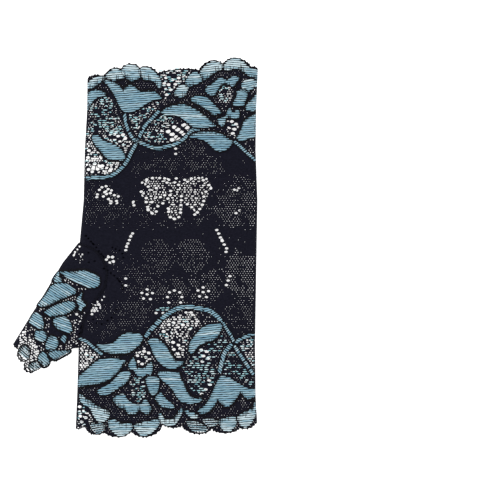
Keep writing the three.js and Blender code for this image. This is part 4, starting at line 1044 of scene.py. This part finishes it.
def hand_place(corners, rng):
    """Where the corners of the hand's meshes lie, drawn in to its folds and scalloped edges."""
    columns, rows = corners.max(axis=0)
    y = -HAND_HALF_LENGTH + 2 * HAND_HALF_LENGTH * (corners[:, 1] + hexagonal(corners)) / rows
    left, right = folds_at(y)
    share = corners[:, 0] / columns
    x = left + (right - left) * share
    free = (share > FIRM_EDGE) & (share < 1 - FIRM_EDGE)
    x = x + free * rng.normal(0, CORNER_STRAY[0], len(x))
    y = y + rng.normal(0, CORNER_STRAY[1], len(y))
    top = np.interp(x, cuff_line[:, 0], cuff_line[:, 1])
    low = np.interp(x, finger_line[:, 0], finger_line[:, 1])
    return np.column_stack([x, np.clip(y, low, top)])


THUMB_TURN = math.radians(-40.0)
THUMB_MIDDLE = (-42.0, -33.0)
thumb_axes = np.array([[math.cos(THUMB_TURN), math.sin(THUMB_TURN)],
                       [-math.sin(THUMB_TURN), math.cos(THUMB_TURN)]])


def thumb_place(corners, rng):
    """Where the corners of the thumb's meshes lie: rows run aslant, drawn in to its folds."""
    columns, rows = corners.max(axis=0)
    local = np.column_stack([(corners[:, 0] - columns / 2) * NET_PITCH[0] / 2,
                             (corners[:, 1] + hexagonal(corners) - rows / 2) * NET_PITCH[1]])
    plan = THUMB_MIDDLE + (local + rng.normal(0, CORNER_STRAY[1], local.shape)) @ thumb_axes
    upper, lower = np.array(THUMB_UPPER_FOLD), np.array(THUMB_LOWER_FOLD)
    top = np.interp(plan[:, 0], upper[::-1, 0], upper[::-1, 1])
    low = np.interp(plan[:, 0], lower[::-1, 0], lower[::-1, 1])
    return np.column_stack([plan[:, 0], np.clip(plan[:, 1], low, top)])


# The lace ground

def six_sided_sheet(place, columns, rows, rng):
    """A flat sheet of six-sided meshes, with its corners where place puts them."""
    bm = bmesh.new()
    bmesh.ops.create_grid(bm, x_segments=columns, y_segments=rows, size=1.0)
    bm.verts.ensure_lookup_table()
    corners = np.rint((np.array([v.co[:2] for v in bm.verts]) + 1) / 2 * (columns, rows)).astype(int)
    for vert, (x, y) in zip(bm.verts, place(corners, rng)):
        vert.co = (x, y, 0.0)
    spare = []
    for edge in bm.edges:
        (column, row), (other_column, other_row) = (corners[v.index] for v in edge.verts)
        if column == other_column and (column + min(row, other_row)) % 2 and not edge.is_boundary:
            spare.append(edge)
    bmesh.ops.dissolve_edges(bm, edges=spare, use_verts=False)
    return bm


def middles(faces):
    """The middle of each mesh of the net."""
    return np.array([f.calc_center_median()[:2] for f in faces])


def is_upright(edge):
    """Whether a thread of the net stands more up than across."""
    a, b = (vert.co for vert in edge.verts)
    return abs(a.y - b.y) > 1.2 * abs(a.x - b.x)


def run_together(bm, openness, joining, rng):
    """The wide meshes of the windows: neighbours joined here and there, most of them sideways."""
    for _ in range(JOIN_ROUNDS):
        centres = middles(bm.faces)
        wide = {f: j for f, j, o in zip(bm.faces, joining(centres), openness(centres))
                if j > 0 and o > LEAST_JOINED}
        taken, shared = set(), []
        for face, share in wide.items():
            if face in taken or rng.random() > share * JOIN_CHANCE or len(face.edges) > MOST_SIDES:
                continue
            edges = list(face.edges)
            if rng.random() < SIDEWAYS_JOINS:
                edges = [edge for edge in edges if is_upright(edge)] or edges
            edge = edges[int(rng.integers(len(edges)))]
            other = next((f for f in edge.link_faces if f is not face), None)
            if other in wide and other not in taken:
                taken.update((face, other))
                shared.append(edge)
        bmesh.ops.dissolve_edges(bm, edges=shared, use_verts=False)


def draw_eyelets(faces, centres, width, holes):
    """The mesh nearest to each eyelet drawn out to an oval hole, and the meshes round it drawn in."""
    moved = set()
    for x, y, across, tall in holes:
        away = away_from(centres, (x, y))
        nearest = int(np.argmin(away))
        if away[nearest] > EYELET_REACH:
            continue
        for vert in faces[nearest].verts:
            if vert in moved:
                continue
            moved.add(vert)
            angle = math.atan2(vert.co.y - centres[nearest][1], vert.co.x - centres[nearest][0])
            vert.co = (x + across / EYELET_SHARE * math.cos(angle),
                       y + tall / EYELET_SHARE * math.sin(angle), 0.0)
        width[nearest] = EYELET_MARK
        wide = across > EYELET[0]
        ring = (across + WIDE_RING[0], tall + WIDE_RING[1]) if wide else EYELET_RING
        near = np.hypot(*((centres - (x, y)) / ring).T) < 1.0
        width[near & (width < EYELET_MARK)] *= 0.0 if wide else DRAWN_IN


def net(name, place, meshes, openness, joining, keep, holes, front, replaces):
    """A layer of lace ground: a sheet of six-sided meshes, each opened as far as the pattern says."""
    rng = np.random.default_rng(5)
    bm = six_sided_sheet(place, *meshes, rng)
    run_together(bm, openness, joining, rng)
    faces = list(bm.faces)
    centres = middles(faces)
    width = openness(centres)
    draw_eyelets(faces, centres, width, holes)

    areas = np.array([f.calc_area() for f in faces])
    outside = ~keep(centres) | (areas < LEAST_MESH)
    opened = [(f, min(o, EYELET_SHARE)) for f, o, out, area in zip(faces, width, outside, areas)
              if o > NARROWEST_HOLE and not out and area > LEAST_OPENED_MESH]
    gone = [f for f, out in zip(faces, outside) if out]
    bmesh.ops.inset_individual(bm, faces=[f for f, _ in opened], thickness=0.0)
    inner = set()
    for face, share in opened:
        middle = face.calc_center_median()
        for vert in face.verts:
            vert.co = middle + (vert.co - middle) * share
            inner.add(vert)
    lifts = np.array([HOLE_LIFT if v in inner else THREAD_LIFT for v in bm.verts])
    for vert, position in zip(bm.verts, laid(np.array([v.co[:2] for v in bm.verts]), lifts, front)):
        vert.co = position
    bmesh.ops.delete(bm, geom=gone + [f for f, _ in opened], context="FACES")
    if not front:
        bmesh.ops.reverse_faces(bm, faces=bm.faces)
    mesh = bpy.data.meshes.new(name)
    bm.to_mesh(mesh)
    bm.free()
    piece(name, mesh, GROUND, replaces)


# The threads that lie on the ground

def row_paleness_and_sheen(name, share):
    """How pale a satin row is; a lobe's rows grow paler towards the glove's edge, a painted sheen."""
    if name in SHEER:
        return 0.56
    if is_lobe(name):
        # Painted sheen: a lobe's rows are paler towards the glove's edge
        return 0.36 + 0.36 * (share if name.startswith("cuff") else 1 - share)
    return 0.34


def satin_rows(outlines, seed):
    """The raised satin threads of each shape, laid in rows across it."""
    rng = random.Random(seed)
    lines = []
    for name, slant, comb, outline in outlines:
        shortest = SHORTEST_VINE_ROW if comb is None else SHORTEST_ROW
        fullness = SHEER_FILL if name in SHEER else 1.0
        c, s = math.cos(math.radians(slant)), math.sin(math.radians(slant))
        local = outline @ np.array([[c, -s], [s, c]])
        following = np.roll(local, -1, axis=0)
        low, high = local[:, 1].min(), local[:, 1].max()
        y = low + rng.random() * 0.4 if abs(slant) > STEEP else math.floor(low / SATIN_PITCH) * SATIN_PITCH
        while y < high:
            y += SATIN_PITCH
            crossing = (local[:, 1] > y) != (following[:, 1] > y)
            xs = sorted(a[0] + (b[0] - a[0]) * (y - a[1]) / (b[1] - a[1])
                        for a, b in zip(local[crossing], following[crossing]))
            for x0, x1 in zip(xs[::2], xs[1::2]):
                x0, x1 = x0 + rng.uniform(-0.1, 0.25), x1 - rng.uniform(-0.1, 0.25)
                if x1 - x0 < shortest:
                    continue
                count = max(3, int((x1 - x0) / ROW_STEP) + 1)
                xx = np.linspace(x0, x1, count)
                wave = 0.09 * np.sin(xx * 0.9 + y * 2.3) + 0.05 * np.sin(xx * 2.3 + y)
                plan = np.column_stack([xx, y + wave]) @ np.array([[c, s], [-s, c]])
                fill = np.array([rng.uniform(*ROW_FILL) for _ in range(count)])
                width = SATIN_PITCH * 0.5 * fullness * fill
                width[[0, -1]] *= ROW_END
                tone = rng.gauss(row_paleness_and_sheen(name, (y - low) / (high - low)), TONE_SPREAD)
                lines.append((plan, width, ROW_RISE, tone, ROW_FOOT))
    return lines


def row_threads(rows, seed):
    """Thin dark threads that lie in the valleys between the satin rows."""
    rng = random.Random(seed)
    lines = []
    for plan, _, _, _, _ in rows:
        run = plan[-1] - plan[0]
        up = np.array([-run[1], run[0]]) / np.hypot(*run)
        shift = np.array([rng.uniform(-0.08, 0.08) for _ in plan])
        width = np.array([rng.choice(VALLEY_WIDTHS) for _ in plan])
        lines.append((plan + up * (SATIN_PITCH / 2 + shift[:, None]), width, 0.12, 0.0, 0.27))
    return lines


def stretches(used):
    """The runs of neighbouring places round a loop that are used."""
    runs = [[]]
    for place in np.roll(np.arange(len(used)), -int(np.argmin(used))):
        if used[place]:
            runs[-1].append(place)
        elif runs[-1]:
            runs.append([])
    return runs


def combs(outlines, seed):
    """Dark shading along one side of a shape: a band outside it and teeth that reach over its edge."""
    rng = random.Random(seed)
    lines = []
    for name, _, comb, outline in outlines:
        normal = outward(outline)
        direction = np.array([math.cos(math.radians(comb)), math.sin(math.radians(comb))])
        shaded = normal @ direction > SHADED_COSINE
        petal = is_lobe(name) or "fan" in name or name in THUMB_FLOWER
        bare, reach_in, reach_out, band = PETAL_COMB if petal else LEAF_COMB
        for point, out, used in zip(outline, normal, shaded):
            if not used or rng.random() < bare:
                continue
            upright = np.array([0.0, 1.0 if out[1] > 0 else -1.0])
            inner, outer = upright * rng.uniform(*reach_in), upright * rng.uniform(*reach_out)
            foot = point + np.array([rng.uniform(-0.15, 0.15), 0.0])
            tooth = np.array([foot + outer, foot, foot - inner])
            lines.append((tooth, np.array(TOOTH_WIDTHS), 0.14, 0.0, 0.3))
        for side in stretches(shaded):
            if len(side) < LEAST_BAND:
                continue
            taper = np.sin(np.linspace(0.15, math.pi - 0.15, len(side))) ** 0.5
            lines.append((outline[side] + normal[side] * 0.5, band * taper, 0.2, 0.0, 0.05))
    return lines


def floats(fields, seed):
    """Short pale threads that lie across the meshes of the open windows."""
    rng = random.Random(seed)
    lines = []
    for share, outline in fields:
        low, high = outline.min(axis=0), outline.max(axis=0)
        for y in np.arange(low[1], high[1], NET_PITCH[1]):
            x = low[0] + rng.uniform(0, 2.0)
            while x < high[0]:
                length = rng.uniform(*FLOAT_LENGTH)
                if rng.random() < share and inside(np.array([[x, y], [x + length, y]]), outline).all():
                    line = np.array([[x, y], [x + length / 2, y + rng.uniform(-0.1, 0.1)], [x + length, y]])
                    lines.append((line, np.array(FLOAT_WIDTHS), 0.18, rng.random(), 0.1))
                x += length + rng.uniform(*FLOAT_GAP)
    return lines


def rims(outlines, vines):
    """Black cords round each shape, and along both edges of each vine."""
    edges = []
    for name, _, _, outline in outlines:
        growth, radius = LOBE_RIM if is_lobe(name) else SHAPE_RIM
        edges.append((closed_line(grown(outline, growth)), radius))
    for _, _, _, outline in vines:
        half = len(outline) // 2
        edges += [(outline[:half], VINE_RIM), (outline[half:], VINE_RIM)]
    return [(line, radius, 2 * radius, 0.0, 0.1) for line, radius in edges]


def picots(line, side):
    """Small loops along a scalloped edge."""
    along = lengths_along(line)
    rng = random.Random(31)
    loops = []
    for d in np.arange(0.5, along[-1] - 0.5, PICOT_PITCH):
        d += rng.uniform(-0.5, 0.5) * PICOT_PITCH
        here, ahead = points_at(line, along, (d, d + GLANCE))
        run = (ahead - here) / np.hypot(*(ahead - here))
        out = np.array([run[1], -run[0]]) * side * PICOT_REACH * rng.uniform(0.3, 1.5)
        loops.append([here - run * 0.4, here + out - run * 0.22, here + out + run * 0.22, here + run * 0.4])
    return loops


def chain(line, stitch):
    """Overlock stitches: a seam line with short loops across it, by their reach and pitch."""
    reach, pitch = stitch
    along = lengths_along(line)
    stitches = [line]
    for start in np.arange(GLANCE, along[-1] - GLANCE, pitch):
        behind, here, ahead = points_at(line, along, (start - GLANCE, start, start + GLANCE))
        run = (ahead - behind) / np.hypot(*(ahead - behind))
        out = np.array([-run[1], run[0]])
        stitches.append([here - out * reach, here + run * pitch * 0.4 + out * reach])
    return stitches


def float_share(openness):
    """How many of its places for a pale thread a window fills: the wider its meshes, the fewer."""
    if openness > 0.9:
        return 0.12
    return 0.3 if openness > 0.8 else 0.5


def sized(spots, size):
    """Single holes of one size."""
    return [(*spot, *size) for spot in spots]


# The layers, the front one lying over the back one; the front pieces stand for the solids
eyelets = sized(EYELETS, EYELET) + sized(WIDE_EYELETS, WIDE_EYELET)
eyelets += sized(LARGEST_EYELETS, LARGEST_EYELET) + sized(SMALL_EYELETS, SMALL_EYELET)
pits = sized(PITS, PIT)
float_windows = [(float_share(value), smooth_closed(points))
                 for name, value, points in WINDOWS if name not in PLAIN_WINDOWS]
hand_rows = satin_rows(satin_outlines + wound_vines, 1)
thumb_rows = satin_rows(thumb_outlines, 4)
valleys = row_threads(hand_rows + thumb_rows, 21)
shape_rims = rims(satin_outlines + thumb_outlines, vine_outlines)
comb_teeth = combs(satin_outlines + thumb_outlines, 7)
hand_nodes = [node_name for node_name in satin_nodes if not node_name.startswith("thumb")]
thumb_nodes = [node_name for node_name in satin_nodes if node_name.startswith("thumb")]
hand_net = (hand_place, HAND_MESHES, hand_openness, hand_joining, hand_keep)
thumb_net = (thumb_place, THUMB_MESHES, thumb_openness, thumb_joining, thumb_keep)

for front, word in LAYERS:
    holes = eyelets + pits if front else eyelets
    net(f"hand_{word}_net", *hand_net, holes, front, ["hand_lace"] if front else ())
    net(f"thumb_{word}_net", *thumb_net, holes, front, ["thumb_lace"] if front else ())
    piece(f"row_{word}_threads", threads(valleys, front, RIDGE), CORD)
    piece(f"hand_{word}_satin", threads(hand_rows, front, ARCH), SATIN,
          hand_nodes if front else ())
    piece(f"thumb_{word}_satin", threads(thumb_rows, front, ARCH), SATIN,
          thumb_nodes if front else ())
    piece(f"outline_{word}_cords", threads(shape_rims, front, ARCH), CORD)
    piece(f"comb_{word}_ticks", threads(comb_teeth, front, RIDGE), CORD)
    strands = floats(float_windows, 9 if front else 10)
    piece(f"window_{word}_floats", threads(strands, front, RIDGE), FLOAT)

EDGES = [("cuff", cuff_line, -1), ("finger", finger_line, 1), ("thumb", thumb_line, 1)]
for name, line, side in EDGES:
    for front, word in LAYERS:
        cord = cords([line] + picots(line, side), EDGE_CORD, EDGE_FOOT, front)
        piece(f"{name}_edge_{word}_cord", cord, CORD, [f"{name}_edge_cord"] if front else ())

# The overlocked seam round the thumb's base and the long one on the underside
for front, word in LAYERS:
    thumb_seam = cords(chain(base_line, THUMB_STITCH), THUMB_SEAM, 0.0, front)
    piece(f"thumb_seam_{word}", thumb_seam, SEAM, ["thumb_seam"] if front else ())
seam_line = np.array([(folds_at(y)[1] - SEAM_FROM_FOLD, y) for y in np.arange(-99.0, 101.5, 2.0)])
side_seam = cords(chain(seam_line, SIDE_STITCH), SIDE_SEAM, 0.0, False)
piece("side_seam_stitches", side_seam, SEAM, ["side_seam"])


# Floor, lights and camera

def lamp(name, location, size, power):
    """A square soft light that looks at the glove."""
    light = bpy.data.lights.new(name, "AREA")
    light.shape = "SQUARE"
    light.size = size
    light.energy = power
    holder = bpy.data.objects.new(name, light)
    holder.location = location
    bpy.context.scene.collection.objects.link(holder)
    holder.rotation_euler = (-holder.location).to_track_quat("-Z", "Y").to_euler()


bm = bmesh.new()
bmesh.ops.create_grid(bm, x_segments=1, y_segments=1, size=3.0)
floor_mesh = bpy.data.meshes.new("floor")
bm.to_mesh(floor_mesh)
bm.free()
floor_mesh.materials.append(shade("floor_paper", (0.9, 0.9, 0.9), 0.9, Emission_Color=(1, 1, 1, 1),
                                  Emission_Strength=0.8))
floor = bpy.data.objects.new("floor", floor_mesh)
bpy.context.scene.collection.objects.link(floor)

lamp("window_soft", (-0.9, 0.9, 1.6), 1.2, 26.0)
lamp("fill_soft", (0.9, -0.6, 1.5), 1.4, 12.0)
world = bpy.data.worlds.new("studio")
world.use_nodes = True
world.node_tree.nodes["Background"].inputs["Color"].default_value = (0.95, 0.97, 1.0, 1)
world.node_tree.nodes["Background"].inputs["Strength"].default_value = 0.5
bpy.context.scene.world = world

# The camera stands straight above and takes in this many millimetres, with room for the other glove's place
FRAME_WIDTH = 275.0
LENS = 400.0
SENSOR_WIDTH = 36.0
GLOVE_TOP = 0.006
CENTRE = (62.7 + ORIGIN_SHIFT[0], -1.5 + ORIGIN_SHIFT[1])
camera_data = bpy.data.cameras.new("camera")
camera_data.lens = LENS
camera_data.sensor_width = SENSOR_WIDTH
camera_data.clip_end = 20.0
camera = bpy.data.objects.new("camera", camera_data)
distance = FRAME_WIDTH * MM * LENS / SENSOR_WIDTH
camera.location = (CENTRE[0] * MM, CENTRE[1] * MM, distance + GLOVE_TOP)
bpy.context.scene.collection.objects.link(camera)
bpy.context.scene.camera = camera
bpy.context.scene.view_settings.view_transform = "Standard"
